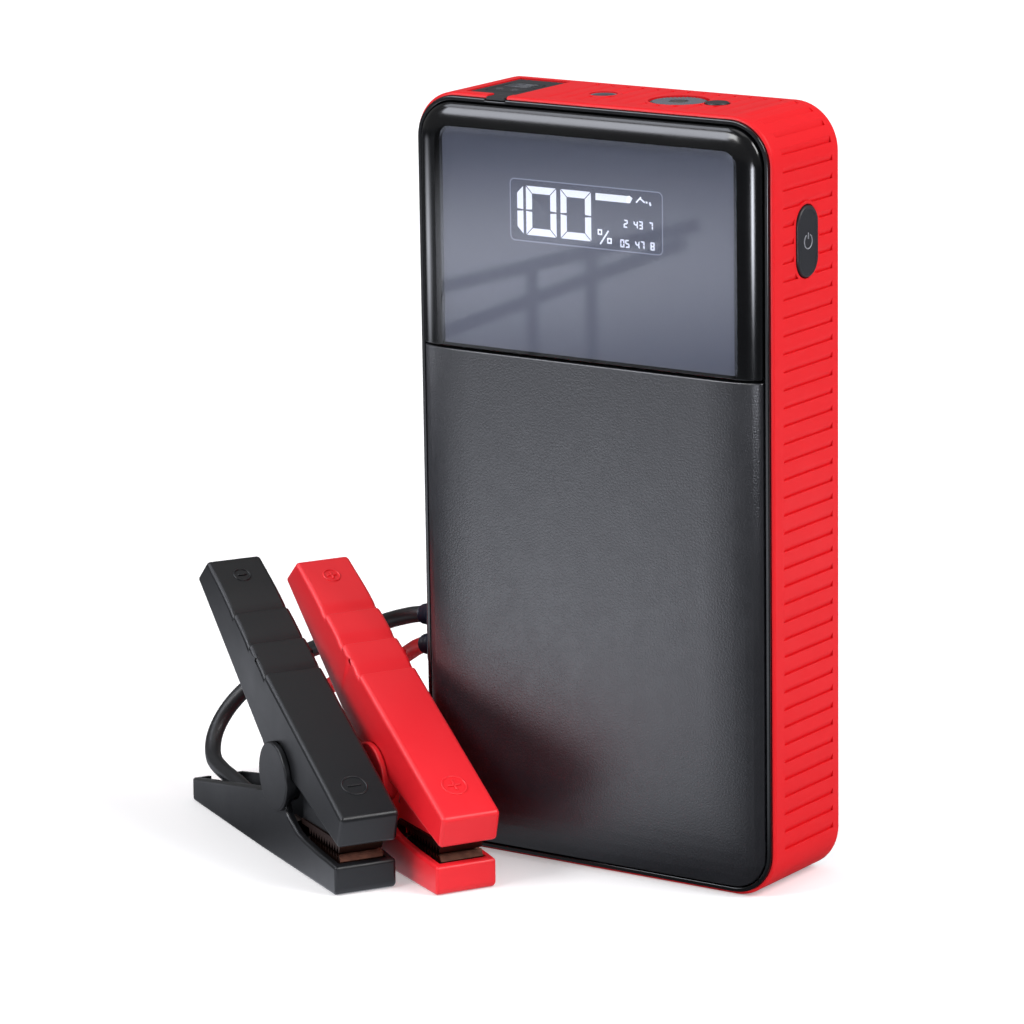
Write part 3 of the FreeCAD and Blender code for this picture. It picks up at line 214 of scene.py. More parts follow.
metal = {"Metallic": 1.0}
finishes = {
    # ABS from a fine spark-eroded mould: saturated colour under a soft even sheen
    "band_red": {
        "colour": "#dd161f",
        "shade": "#d7151d",
        "roughness": 0.44,
        "sockets": {"Specular IOR Level": 0.2},
    },
    # ABS, polished mould: near black with a clean highlight along the rim
    "frame_black": {
        "colour": "#08090b",
        "shade": "#0b0c0f",
        "roughness": 0.2,
        "grainMm": 0.8,
        "heightMm": 0.003,
    },
    # PMMA, cast and smoked: a polished grey sheet that shows the display under it
    "window_smoked": {
        "colour": "#d3d6df",
        "roughness": 0.03,
        "spread": 0.01,
        "heightMm": 0.0005,
        "lampsPass": "#dfe1e8",
        "sockets": {"Transmission Weight": 1.0, "IOR": 1.49, "Coat Weight": 0.3, "Coat Roughness": 0.03},
    },
    # ABS from a leather-grained mould: small shallow cells under a dull sheen
    "cover_black": {
        "colour": "#121319",
        "shade": "#17181f",
        "roughness": 0.36,
        "spread": 0.02,
        "grain": "leather",
        "grainMm": 0.8,
        "heightMm": 0.03,
        "strength": 0.55,
        "patchMm": 5,
        "sockets": {"Specular IOR Level": 0.9},
    },
    # ABS, textured mould, blue grey: the field that shows round the display
    "bezel_black": {"colour": "#65676f", "shade": "#60626b", "roughness": 0.6, "grainMm": 0.6},
    # glass over liquid crystal: the same blue grey as its field, and smooth
    "lcd_dark": {
        "colour": "#62646f",
        "shade": "#5e606b",
        "roughness": 0.25,
        "spread": 0.03,
        "heightMm": 0.001,
    },
    # FR4 board under green solder mask: satin with faint mottling
    "board_green": {"colour": "#12512e", "shade": "#0d4426", "roughness": 0.34, "patchMm": 3, "grainMm": 0.4},
    # stainless steel, cold headed: plain satin metal
    "screw_steel": {
        "colour": "#b9bbbf",
        "roughness": 0.3,
        "grainMm": 0.3,
        "heightMm": 0.006,
        "sockets": metal,
    },
    # aluminium laminate foil of a pouch cell: soft silver with shallow ripples
    "cell_foil": {
        "colour": "#c4c6cb",
        "shade": "#b4b6bc",
        "roughness": 0.33,
        "grainMm": 3.0,
        "heightMm": 0.08,
        "sockets": metal,
    },
    # EVA foam sheet, cut: dull with open cells
    "foam_grey": {"colour": "#33343a", "roughness": 0.9, "grain": "cells", "grainMm": 0.7, "heightMm": 0.12},
    # nickel strip and plated shells, stamped: pale metal with faint press lines
    "nickel": {
        "colour": "#c2beb4",
        "roughness": 0.24,
        "grain": "drawn",
        "along": (1, 1, 12),
        "grainMm": 3.0,
        "heightMm": 0.006,
        "sockets": metal,
    },
    # aluminium can, drawn: fine rings up its wall
    "capacitor_can": {
        "colour": "#8f949d",
        "roughness": 0.3,
        "grain": "drawn",
        "along": (1, 12, 1),
        "grainMm": 3.0,
        "heightMm": 0.006,
        "sockets": metal,
    },
    # TPE rubber, moulded: dark and dull, a little uneven
    "cover_rubber": {
        "colour": "#1d1e22",
        "shade": "#26272c",
        "roughness": 0.6,
        "heightMm": 0.03,
        "patchMm": 3,
    },
    # polycarbonate, tinted and polished: a dark torch glass with a wet gloss
    "lens_clear": {
        "colour": "#8d9099",
        "roughness": 0.05,
        "spread": 0.02,
        "heightMm": 0.001,
        "lampsPass": "#9a9da6",
        "sockets": {"Transmission Weight": 1.0, "IOR": 1.586},
    },
    # ABS with vacuum-laid aluminium: mirror cup
    "reflector_chrome": {
        "colour": "#8f9198",
        "roughness": 0.16,
        "spread": 0.03,
        "heightMm": 0.002,
        "sockets": metal,
    },
    # phosphor under silicone: pale yellow
    "led_white": {"colour": "#d8cf9a", "roughness": 0.35, "grainMm": 0.4},
    # ABS keys, satin mould: dark grey with a soft edge
    "button_black": {"colour": "#202126", "shade": "#25262b", "roughness": 0.42, "heightMm": 0.015},
    # PBT switch bodies, plain mould: dull and grainy
    "switch_black": {"colour": "#202124", "roughness": 0.6, "grainMm": 0.4},
    # nylon connector halves, glass filled: blue with a slightly cloudy skin
    "socket_blue": {"colour": "#14244f", "shade": "#172855", "roughness": 0.46, "patchMm": 4},
    "plug_blue": {"colour": "#0c1329", "shade": "#0e162f", "roughness": 0.46, "patchMm": 4},
    # brass, turned and tinned: pale yellow metal
    "contact_brass": {"colour": "#cfb36b", "roughness": 0.22, "heightMm": 0.004, "sockets": metal},
    # copper plate, stamped, browned by handling: dark and patchy
    "copper": {
        "colour": "#482e25",
        "shade": "#2d1d19",
        "roughness": 0.42,
        "patchMm": 1.6,
        "grainMm": 0.4,
        "sockets": metal,
    },
    # brass rivets, headed: small warm highlights
    "rivet_brass": {"colour": "#c5ab68", "roughness": 0.3, "heightMm": 0.005, "sockets": metal},
    # spring wire, drawn and oiled: grey with a tight highlight
    "spring_steel": {"colour": "#9a9b9e", "roughness": 0.28, "heightMm": 0.004, "sockets": metal},
    # nylon grips, satin mould: near black with a broad soft sheen along the rounded edges
    "clamp_black": {
        "colour": "#131417",
        "shade": "#17181b",
        "roughness": 0.36,
        "grainMm": 0.45,
        "heightMm": 0.015,
        "sockets": {"Specular IOR Level": 0.35},
    },
    # the same grips in red: saturated, with the light edge that a rounded moulding shows
    "clamp_red": {
        "colour": "#ea212b",
        "shade": "#ee252f",
        "roughness": 0.38,
        "grainMm": 0.45,
        "heightMm": 0.015,
        "sockets": {"Specular IOR Level": 0.35},
    },
    # silicone jackets, extruded: smooth with a soft sheen
    "lead_black": {
        "colour": "#111216",
        "shade": "#16171b",
        "roughness": 0.4,
        "grainMm": 0.6,
        "heightMm": 0.01,
    },
    "lead_red": {"colour": "#d81d28", "shade": "#de212b", "roughness": 0.4, "grainMm": 0.6, "heightMm": 0.01},
    # pad print on the back of the window, and ink: black without a grain of its own
    "window_print": {"colour": "#08090b", "roughness": 0.17, "spread": 0.02, "heightMm": 0.001},
    # the display's outline: a pale ring that does not glow, a painted highlight along the panel's edge
    "display_edge_painted_highlight": {"colour": "#a9acb8", "roughness": 0.5, "heightMm": 0.002},
    # lit segments: an even white glow
    "display_lit": {
        "colour": "#f2f3f7",
        "roughness": 0.5,
        "heightMm": 0.001,
        "sockets": {"Emission Color": linear("#f4f5fb"), "Emission Strength": 0.78},
    },
    # grey ink, pad printed: flat and pale on the dark key
    "sign_grey": {"colour": "#8b8d94", "roughness": 0.5, "heightMm": 0.004},
    # the torch glass's flutes: moulded, drawn opaque in a lighter grey than the glass, a painted highlight on
    # their flanks
    "torch_flutes_painted_highlight": {"colour": "#5c5f68", "roughness": 0.22, "heightMm": 0.002},
    # the port cover's raised lines: the same rubber, smoother, in a lighter grey that is a painted highlight along
    # them
    "relief_painted_highlight": {"colour": "#3c3e45", "roughness": 0.3, "grainMm": 0.4, "heightMm": 0.01},
}
materials = {name: makeFinish(name, look) for name, look in finishes.items()}
for name, node in nodes.items():
    for socket in node.material_slots:
        socket.material = materials[slotOf[name]]
print("finishes made", len(materials))


# small steps that many pieces share
def meshFrom(work, name):
    mesh = bpy.data.meshes.new(name)
    work.to_mesh(mesh)
    work.free()
    return mesh


def vertsOf(geom):
    return [v for v in geom if isinstance(v, bmesh.types.BMVert)]


def moveBy(work, verts, *way):
    bmesh.ops.translate(work, vec=way, verts=verts)


def thicken(work, thick):
    bmesh.ops.solidify(work, geom=work.faces[:], thickness=thick)
    bmesh.ops.recalc_face_normals(work, faces=work.faces)


def closeEnds(work):
    bmesh.ops.holes_fill(work, edges=[e for e in work.edges if e.is_boundary])
    bmesh.ops.recalc_face_normals(work, faces=work.faces)


def turnBy(work, verts, degrees, axis):
    turned = Matrix.Rotation(math.radians(degrees), 3, axis)
    bmesh.ops.rotate(work, cent=(0, 0, 0), matrix=turned, verts=verts)


def addSheet(work, size):
    made = bmesh.ops.create_grid(work, x_segments=1, y_segments=1, size=0.5)["verts"]
    bmesh.ops.scale(work, vec=(size[0], size[1], 1), verts=made)
    return made


def addBlock(work, size):
    made = bmesh.ops.create_cube(work, size=1)["verts"]
    bmesh.ops.scale(work, vec=size, verts=made)
    return made


def addHoop(work, radius, wire, corners, steps, opening=0):
    ring = bmesh.ops.create_circle(work, segments=corners, radius=wire)["verts"]
    turnBy(work, ring, 90, "X")
    moveBy(work, ring, radius, 0, 0)
    if opening:
        turnBy(work, ring, 90 + opening / 2, "Z")
    bmesh.ops.spin(
        work,
        geom=work.verts[:] + work.edges[:],
        cent=(0, 0, 0),
        axis=(0, 0, 1),
        angle=2 * math.pi - math.radians(opening),
        steps=steps,
        use_merge=not opening,
    )
    closeEnds(work)


def cutPlane(work, place, normal, **settings):
    everything = work.verts[:] + work.edges[:] + work.faces[:]
    bmesh.ops.bisect_plane(work, geom=everything, plane_co=place, plane_no=normal, **settings)


def roundBlock(work, verts, width):
    bmesh.ops.bevel(
        work,
        geom=list({e for v in verts for e in v.link_edges}),
        offset=width,
        segments=2,
        profile=0.5,
        affect="EDGES",
        material=-1,
    )


weld = {"apart": 0.002, "flat": 0.6}  # mm and degrees
slack = 0.1  # mm that a point may lie off the place where it is looked for
squareOn = 0.99  # share of a normal along an axis from which its face counts as square on it


# a merged copy of a node, to be shaped and then to stand for it
def copyOf(name):
    work = bmesh.new()
    work.from_mesh(nodes[name].data)
    bmesh.ops.remove_doubles(work, verts=work.verts, dist=weld["apart"] * mm)
    bmesh.ops.dissolve_limit(work, angle_limit=math.radians(weld["flat"]), verts=work.verts, edges=work.edges)
    return work


def sharpAngle(edge):
    return math.degrees(edge.calc_face_angle(0)) if len(edge.link_faces) == 2 else 0


# ends a piece: smooth faces with hard edges kept, its material, its body and what it stands for
def finishPiece(work, name, slot, body, stands=(), rounded=None, byWeight=False, hard=32, look=None):
    for face in work.faces:
        face.smooth = True
    for edge in work.edges:
        edge.smooth = sharpAngle(edge) < hard
    mesh = meshFrom(work, name)
    piece = addObject(name, mesh)
    mesh.materials.append(materials[look or slot])
    if rounded:
        width, segments = rounded
        bevel = piece.modifiers.new("rounded edges", "BEVEL")
        bevel.width = width * mm
        bevel.segments = segments
        bevel.limit_method = "WEIGHT" if byWeight else "ANGLE"
        bevel.angle_limit = math.radians(hard)
        bevel.use_clamp_overlap = False
    flat = piece.modifiers.new("even faces", "WEIGHTED_NORMAL")
    flat.keep_sharp = True
    if body:
        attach(piece, body)
    if stands:
        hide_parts(*stands)
    return piece


# a plate with rounded corners that faces the viewer, from its middle and size in X and Z, turned in degrees
def addPlate(work, middle, size, radius, y, thick, turn=0):
    made = addSheet(work, size)
    if radius:
        made = bmesh.ops.bevel(
            work, geom=made, offset=radius, segments=5, profile=0.5, affect="VERTICES", material=-1
        )["verts"]
    face = made[0].link_faces[0]
    made = list(face.verts)
    turnBy(work, made, turn, "Z")
    turnBy(work, made, 90, "X")
    moveBy(work, made, middle[0], y, middle[1])
    raised = bmesh.ops.extrude_face_region(work, geom=[face])["geom"]
    moveBy(work, vertsOf(raised), 0, -thick, 0)


# leads: the route's points in mm, from the clamp's crimp to the plug
leads = {
    "black": {
        "points": [
            (-73.2, -39.7, 4.9), (-84.4, -33.1, 4.9), (-96.6, -26.2, 5.8), (-108.7, -19.1, 7.4),
            (-118.0, -13.1, 7.6), (-125.0, -7.8, 8.6), (-128.8, -1.6, 13.3), (-128.3, 5.0, 19.5),
            (-123.4, 9.8, 25.6), (-115.2, 12.2, 31.2), (-105.0, 12.0, 36.3), (-94.6, 9.6, 41.0),
            (-84.2, 6.6, 45.6), (-73.7, 4.2, 50.0), (-63.2, 3.0, 53.1), (-52.3, 3.0, 53.1),
        ],
        "length": 0.164,
    },
    "red": {
        "points": [
            (-53.0, -27.7, 4.9), (-64.3, -21.4, 4.9), (-76.7, -14.9, 5.8), (-88.9, -8.0, 7.2),
            (-98.6, -2.4, 7.4), (-107.8, 2.8, 7.6), (-113.2, 9.5, 11.7), (-112.7, 16.9, 18.3),
            (-106.6, 21.2, 24.6), (-96.6, 19.8, 28.8), (-85.4, 13.6, 32.8), (-74.4, 7.2, 38.8),
            (-63.2, 3.0, 45.9), (-52.3, 3.0, 45.9),
        ],
        "length": 0.152,
    },
}
leadDiameter = 0.0042
bootMm = {"length": 5.5, "inside": 1.0, "thick": 3.0, "thin": 2.35, "rings": 4, "rib": 0.16}
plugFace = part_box("jump_plug")[0].x


def leadCurve(name, points, depth):
    curve = bpy.data.curves.new(name, "CURVE")
    curve.dimensions = "3D"
    curve.resolution_u = 12
    curve.bevel_depth = depth
    curve.bevel_resolution = 7
    curve.use_fill_caps = True
    spline = curve.splines.new("NURBS")
    spline.points.add(len(points) - 1)
    for point, place in zip(spline.points, points):
        point.co = (*Vector(place) * mm, 1)
    spline.order_u = 3
    spline.use_endpoint_u = True
    return addObject(name, curve)


# strain relief: a ribbed sleeve that tapers along the lead's own line, out of the plug
def makeBoot(colour, points):
    line = leadCurve("line", points, 0)
    path = []
    for vertex in reversed(bpy.data.meshes.new_from_object(line).vertices):
        if vertex.co.x < plugFace - bootMm["length"] * mm:
            break
        if vertex.co.x < plugFace + bootMm["inside"] * mm:
            path.append(vertex.co.copy())
    bpy.data.objects.remove(line)
    work = bmesh.new()
    last = None
    steps = 4 * bootMm["rings"]
    for step in range(steps + 1):
        along = step / steps
        place = along * (len(path) - 1)
        low = min(int(place), len(path) - 2)
        centre = path[low].lerp(path[low + 1], place - low)
        heading = (path[low + 1] - path[low]).to_track_quat("Z", "Y").to_matrix().to_4x4()
        rib = bootMm["rib"] * math.cos(math.pi * step) if 0 < step < steps else 0
        radius = (bootMm["thick"] + (bootMm["thin"] - bootMm["thick"]) * along + rib) * mm
        ring = bmesh.ops.create_circle(
            work,
            segments=24,
            radius=radius,
            matrix=Matrix.Translation(centre) @ heading,
            cap_ends=step in (0, steps),
        )
        edges = list({e for v in ring["verts"] for e in v.link_edges})
        if last:
            bmesh.ops.bridge_loops(work, edges=last + edges)
        last = edges
    bmesh.ops.recalc_face_normals(work, faces=work.faces)
    return finishPiece(work, f"{colour}_lead_boot", "plug_blue", "case", hard=50)


for colour, lead in leads.items():
    tube = leadCurve(f"{colour}_lead_tube", lead["points"], leadDiameter / 2)
    tube.data.materials.append(materials[f"lead_{colour}"])
    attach(tube, "case")
    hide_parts(f"{colour}_lead")
    makeBoot(colour, lead["points"])
print("leads laid")


# clamps: the grips' outer edges rounded, finger steps hollowed, signs on the grips, and the springs
clamp = {
    "pivot": (35.3, 21.6),  # from the tip, in the clamp's own frame
    "grip half": 7.8,
    "jaw half": 8.1,
    "taper": (48.3, 94.5, 0.7),  # where the sides draw in, and by how much each
    "roof": (-3.5, 20.2, 80.2, 66.5),  # line along the top of the grip
    "steps": (62.6, 52.6, 42.8),
    "step run": 9.2,
    "step depth": 0.8,
    "step cuts": (0.12, 0.25, 0.4, 0.55, 0.75),  # along each step, where its hollow gets an edge
    "step ends": 0.02,  # share of a hollow that stays as it is at each end
    "step weights": (0.3, 0.45),  # rounding of a step's lower and upper edge
    "riser": 0.5,  # run of the short slope up to the next step
    "cap": 9.0,
    "round": 1.0,
    "jaw round": 0.8,
}
# edges that get rounded: angles in degrees, the rest in mm
pick = {"bent": 12, "sharp": 25, "beside": 0.06, "across": 5, "riser": 0.3}
sign = {
    "at": (6.0, 74.5),
    "radius": (3.1, 2.1),
    "wire": 0.26,
    "bar": 0.5,
    "bar length": 1.15,  # times the ring's radius
    "bar round": 0.14,
    "height": 0.34,
}
spring = {
    "radius": 3.3,
    "wire": 0.55,
    "pitch": 1.56,
    "turns": 4,
    "low": 30,
    "steps": 96,
    "legs": (14.6, 19.2),
    "reach": 3.0,  # to either side of the middle, along the pivot, toward the fixed leg and the grip's leg
}


def clampFrame(colour):
    joint = joints[f"{colour}_clamp_hinge"]
    across = Vector(joint["axis"])
    rearwards = Vector((across.y, -across.x, 0))
    x, z = clamp["pivot"]
    place = Vector(joint["pos_m"]) - rearwards * x * mm - Vector((0, 0, z * mm))
    turn = Matrix((rearwards, across, Vector((0, 0, 1)))).transposed().to_4x4()
    return Matrix.Translation(place) @ turn @ Matrix.Scale(mm, 4)


def roofAt(x):
    x0, z0, x1, z1 = clamp["roof"]
    return z0 + (z1 - z0) * (x - x0) / (x1 - x0)


def sideAt(x, half):
    start, end, drawn = clamp["taper"]
    return half - drawn * max(0, (x - start) / (end - start))


# every edge of the outside gets a share of the rounding, and the covered ones at the pivot none
def weighOutside(work, half, weightOf):
    layer = work.edges.layers.float.new("bevel_weight_edge")
    for edge in work.edges:
        if sharpAngle(edge) < pick["bent"]:
            continue
        ends = [v.co for v in edge.verts]
        outside = [abs(abs(p.y) - sideAt(p.x, half)) < pick["beside"] for p in ends]
        if not all(outside):
            continue
        middle = (ends[0] + ends[1]) / 2
        near = math.hypot(middle.x - clamp["pivot"][0], middle.z - clamp["pivot"][1]) < clamp["cap"]
        if near and abs(ends[0].y - ends[1].y) < slack:
            continue
        edge[layer] = weightOf(edge, middle)


def plainWeight(edge, middle):
    return 1.0 if sharpAngle(edge) > pick["sharp"] else 0.0


def stepWeight(edge, middle):
    lower, upper = clamp["step weights"]
    across = abs(edge.verts[0].co.y - edge.verts[1].co.y) > pick["across"]
    for x in clamp["steps"]:
        if across and abs(middle.x - x) < slack:
            return lower
        if across and abs(middle.x - x - clamp["riser"]) < pick["riser"]:
            return upper
    return plainWeight(edge, middle)


def makeGrip(colour, frameOf):
    work = copyOf(f"{colour}_handle")
    work.transform(frameOf.inverted())
    x0, z0, x1, z1 = clamp["roof"]
    along = Vector((x1 - x0, 0, z1 - z0)).normalized()
    hollow = clamp["step run"] - clamp["riser"]
    for x in clamp["steps"]:
        for share in clamp["step cuts"]:
            at = x + clamp["riser"] + share * hollow
            cutPlane(work, (at, 0, roofAt(at)), along, dist=0.001)
    for vert in work.verts:  # each ramp becomes a hollow that deepens towards its step
        below = roofAt(vert.co.x) - vert.co.z
        if below > clamp["step depth"] + slack:
            continue
        for x in clamp["steps"]:
            share = (vert.co.x - x - clamp["riser"]) / hollow
            if clamp["step ends"] < share < 1 - clamp["step ends"]:
                deep = clamp["step depth"] * (1 - share) ** 2
                vert.co.z -= deep - below
    weighOutside(work, clamp["grip half"], stepWeight)
    work.transform(frameOf)
    return finishPiece(
        work,
        f"{colour}_grip",
        f"clamp_{colour}",
        f"{colour}_handle",
        stands=[f"{colour}_handle"],
        rounded=(clamp["round"], 3),
        byWeight=True,
        hard=40,
    )


def makeJaw(colour, frameOf):
    work = copyOf(f"{colour}_lower_jaw")
    work.transform(frameOf.inverted())
    weighOutside(work, clamp["jaw half"], plainWeight)
    work.transform(frameOf)
    return finishPiece(
        work,
        f"{colour}_jaw",
        f"clamp_{colour}",
        "case",
        stands=[f"{colour}_lower_jaw"],
        rounded=(clamp["jaw round"], 3),
        byWeight=True,
        hard=40,
    )


def addBar(work, length, turn):
    made = addBlock(work, (length, sign["bar"], 2 * sign["height"]))
    turnBy(work, made, turn, "Z")
    roundBlock(work, made, sign["bar round"])


# raised ring with a plus or a minus, at each end of the grip
def makeSigns(colour, frameOf):
    slope = math.atan2(clamp["roof"][3] - clamp["roof"][1], clamp["roof"][2] - clamp["roof"][0])
    whole = bmesh.new()
    for x, radius in zip(sign["at"], sign["radius"]):
        work = bmesh.new()
        addHoop(work, radius, sign["wire"], 10, 48)
        addBar(work, sign["bar length"] * radius, 90)
        if colour == "red":
            addBar(work, sign["bar length"] * radius, 0)
        place = Matrix.Translation((x, 0, roofAt(x))) @ Matrix.Rotation(-slope, 4, "Y")
        work.transform(frameOf @ place)
        mesh = meshFrom(work, "sign")
        whole.from_mesh(mesh)
        bpy.data.meshes.remove(mesh)
    return finishPiece(whole, f"{colour}_grip_signs", f"clamp_{colour}", f"{colour}_handle", hard=50)


# torsion spring: a ring of wire spun along its helix, with a straight leg at each end
def makeSpring(colour, frameOf):
    work = bmesh.new()
    x, z = clamp["pivot"]
    radius = spring["radius"]
    start = math.radians(spring["low"])
    end = 2 * math.pi * spring["turns"]
    climb = spring["pitch"] / (2 * math.pi)
    middle = (start + end) / 2

    def tangent(angle):
        return Vector((-radius * math.sin(angle), climb, radius * math.cos(angle))).normalized()

    first = Vector((x + radius * math.cos(start), climb * (start - middle), z + radius * math.sin(start)))
    heading = tangent(start).to_track_quat("Z", "Y").to_matrix().to_4x4()
    placed = Matrix.Translation(first) @ heading
    bmesh.ops.create_circle(work, segments=10, radius=spring["wire"], matrix=placed)
    turned = bmesh.ops.spin(
        work,
        geom=work.verts[:] + work.edges[:],
        cent=(x, 0, z),
        axis=(0, -1, 0),
        dvec=(0, climb * (end - start) / spring["steps"], 0),
        angle=end - start,
        steps=spring["steps"],
    )
    tips = [e for e in turned["geom_last"] if isinstance(e, bmesh.types.BMEdge)]
    feet = [e for e in work.edges if e.is_boundary and e not in tips]
    lowLeg, highLeg = spring["legs"]
    for edges, leg in ((feet, -tangent(start) * lowLeg), (tips, tangent(end) * highLeg)):
        grown = bmesh.ops.extrude_edge_only(work, edges=edges)["geom"]
        moveBy(work, vertsOf(grown), *leg)
    closeEnds(work)
    work.transform(frameOf)
    return finishPiece(
        work,
        f"{colour}_spring_coil",
        "spring_steel",
        None,
        stands=[f"{colour}_spring"],
        hard=50,
    )


for colour in ("black", "red"):
    frameOf = clampFrame(colour)
    makeGrip(colour, frameOf)
    makeJaw(colour, frameOf)
    makeSigns(colour, frameOf)
    coil = makeSpring(colour, frameOf)
    x, z = clamp["pivot"]
    start = frameOf @ Vector((x, -spring["reach"], z))
    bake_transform(coil)
print("clamps shaped")


# window: polished sheet with a black print behind its crowned border
window = {
    "glass": 2.0,  # thickness of the flat part
    "foot": 2.0,  # wall below the display's room, as built
    "foot thin": 0.45,
    "room top": 5.4,  # from the top of the window down to the display's room
    "room half": 43.3,
    "lip": 2.2,  # height of the strip that is thinned
    "round": 0.22,
    "print": {"half": 41.5, "top": 5.75, "corner": 3.0, "width": 1.6, "below": 10, "thick": 0.015},
    "print gap": 0.03,  # behind the glass, and the next one over the foot
    "foot gap": 0.05,
}
lensLow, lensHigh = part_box("window_lens")
frontY = lensLow.y
roomY = frontY + window["glass"] * mm
footTop = lensLow.z + window["foot"] * mm
footDrop = (window["foot"] - window["foot thin"]) * mm


def makeWindow():
    work = copyOf("window_lens")
    for vert in work.verts:  # the display's room reaches down to a thin lip at the seam
        inRoom = vert.co.y > roomY - slack * mm and abs(vert.co.x) < window["room half"] * mm
        if inRoom and footTop - slack * mm < vert.co.z < footTop + window["lip"] * mm:
            vert.co.z -= footDrop
    for face in work.faces:
        flat = abs(face.normal.y) > squareOn and face.calc_center_median().y < roomY + slack * mm
        face.material_index = 0 if flat else 1
    piece = finishPiece(
        work,
        "window_glass",
        "window_smoked",
        "case",
        stands=["window_lens"],
        rounded=(window["round"], 2),
    )
    piece.data.materials.append(materials["window_print"])


# a flat frame with rounded corners, from its outer size in X and Z, its width and its corner
def makeRing(size, width, corner):
    work = bmesh.new()
    made = addSheet(work, size)
    bmesh.ops.bevel(work, geom=made, offset=corner, segments=8, profile=0.5, affect="VERTICES", material=-1)
    inner = work.faces[:]
    bmesh.ops.inset_region(work, faces=inner, thickness=width, use_boundary=True, use_even_offset=True)
    bmesh.ops.delete(work, geom=inner, context="FACES_ONLY")
    return work


def standUp(work, middle, y, thick):
    turnBy(work, work.verts, 90, "X")
    moveBy(work, work.verts, middle[0], y, middle[1])
    thicken(work, thick)


def makePrint():
    look = window["print"]
    width = look["width"]
    top = lensHigh.z - look["top"] * mm
    low = lensLow.z - look["below"] * mm
    size = (2 * (look["half"] + width) * mm, top - low + 2 * width * mm)
    work = makeRing(size, width * mm, (look["corner"] + width) * mm)
    standUp(work, (0, (top + low) / 2), roomY + window["print gap"] * mm, look["thick"] * mm)
    foot = lensLow.z + (window["foot thin"] + window["foot gap"]) * mm
    roof = lensHigh.z - window["room top"] * mm
    cutPlane(work, (0, 0, foot), (0, 0, 1), dist=1e-6, clear_inner=True)
    cutPlane(work, (0, 0, roof), (0, 0, 1), dist=1e-6, clear_outer=True)
    finishPiece(work, "window_border_print", "frame_black", "case")


def makeField():
    work = copyOf("display_bezel")
    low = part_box("display_bezel")[0].z
    for vert in work.verts:
        if vert.co.z < low + window["lip"] * mm:
            vert.co.z -= footDrop
    finishPiece(work, "display_field", "bezel_black", "case", stands=["display_bezel"])


makeWindow()
makePrint()
makeField()
print("window made")


# display: a panel with a pale edge that is a painted highlight, seven-segment digits and a few plain marks
# places are in mm from the panel's top left corner
display = {
    "size": (43.7, 15.3),
    "corner": 1.4,
    "edge": 0.3,
    "digit": {"top": 1.65, "height": 11.95, "thick": 1.75, "gap": 0.16},
    "digits": (("1", 1.3, 2.6), ("0", 4.7, 8.75), ("0", 14.65, 8.75)),
    "small": {"height": 1.95, "thick": 0.36, "gap": 0.04, "width": 1.2, "pitch": 1.42},
    "rows": (("2 43 7", 7.5, 32.6), ("05 47 8", 12.3, 31.6)),
    # plain bars: left, top, width, height and turn in degrees
    "marks": (
        (24.7, 1.75, 9.6, 1.7, 0),
        (33.6, 1.95, 1.5, 1.15, 60),
        (35.9, 2.2, 2.0, 0.4, 45),
        (37.2, 2.3, 1.6, 0.4, -35),
        (38.9, 2.6, 0.5, 0.5, 0),
        (39.9, 2.7, 0.5, 0.9, 20),
    ),
    "percent": {"stroke": (25.0, 12.1, 4.2, 0.42, 55), "rings": ((25.2, 10.4), (27.9, 12.3))},
    "ring bars": ((0, 0, 1.3, 0.35), (0, 1.05, 1.3, 0.35), (0, 0.2, 0.35, 1.0), (0.95, 0.2, 0.35, 1.0)),
    "behind": 0.07,  # from the glass to the panel
    "film": 0.008,  # thickness of what is lit, and how far each layer stands before the last
    "step": 0.02,
    "edge step": 0.022,
    "edge thick": 0.01,
}
panelX = -display["size"][0] / 2 * mm
panelZ = sum(corner.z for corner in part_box("lcd_module")) / 2 + display["size"][1] / 2 * mm
filmY = roomY + display["behind"] * mm
litY = filmY - display["step"] * mm
segments = {
    "0": "abcdef",
    "1": "bc",
    "2": "abged",
    "3": "abgcd",
    "4": "fgbc",
    "5": "afgcd",
    "7": "abc",
    "8": "abcdefg",
}


def addShape(work, corners, y):
    verts = [work.verts.new((panelX + x * mm, y, panelZ - z * mm)) for x, z in corners]
    face = work.faces.new(verts)
    face.normal_update()
    if face.normal.y > 0:
        face.normal_flip()
    raised = bmesh.ops.extrude_face_region(work, geom=[face])["geom"]
    moveBy(work, vertsOf(raised), 0, -display["film"] * mm, 0)


# a digit's segments, mitred where they meet at the corners and cut slanted at its waist
def addDigit(work, figure, left, top, width, look, y):
    height, thick, gap = look["height"], look["thick"], look["gap"]
    right = left + width
    low = top + height
    waist = top + height / 2
    half = thick / 2
    inLeft = left + thick
    inRight = right - thick
    inTop = top + thick
    shapes = {
        "a": [(left + gap, top), (right - gap, top), (inRight - gap, inTop), (inLeft + gap, inTop)],
        "f": [(left, top + gap), (inLeft, inTop + gap), (inLeft, waist - 2 * gap), (left, waist - gap)],
        "g": [(left + half, waist), (inLeft, waist - half), (inRight, waist - half), (right - half, waist)],
    }
    shapes["g"] += [(x, 2 * waist - z) for x, z in shapes["g"][2:0:-1]]
    shapes["b"] = [(left + right - x, z) for x, z in shapes["f"]]
    for upper, lower in (("a", "d"), ("f", "e"), ("b", "c")):
        shapes[lower] = [(x, top + low - z) for x, z in shapes[upper]]
    for letter in segments[figure]:
        addShape(work, shapes[letter], y)


def addMark(work, left, top, width, height, turn=0):
    middle = (panelX + (left + width / 2) * mm, panelZ - (top + height / 2) * mm)
    addPlate(work, middle, (width * mm, height * mm), 0, litY, display["film"] * mm, turn)


panel = bmesh.new()
middle = (0, panelZ - display["size"][1] / 2 * mm)
size = [side * mm for side in display["size"]]
addPlate(panel, middle, size, display["corner"] * mm, filmY, display["step"] * mm)
finishPiece(panel, "display_panel", "lcd_dark", "case")
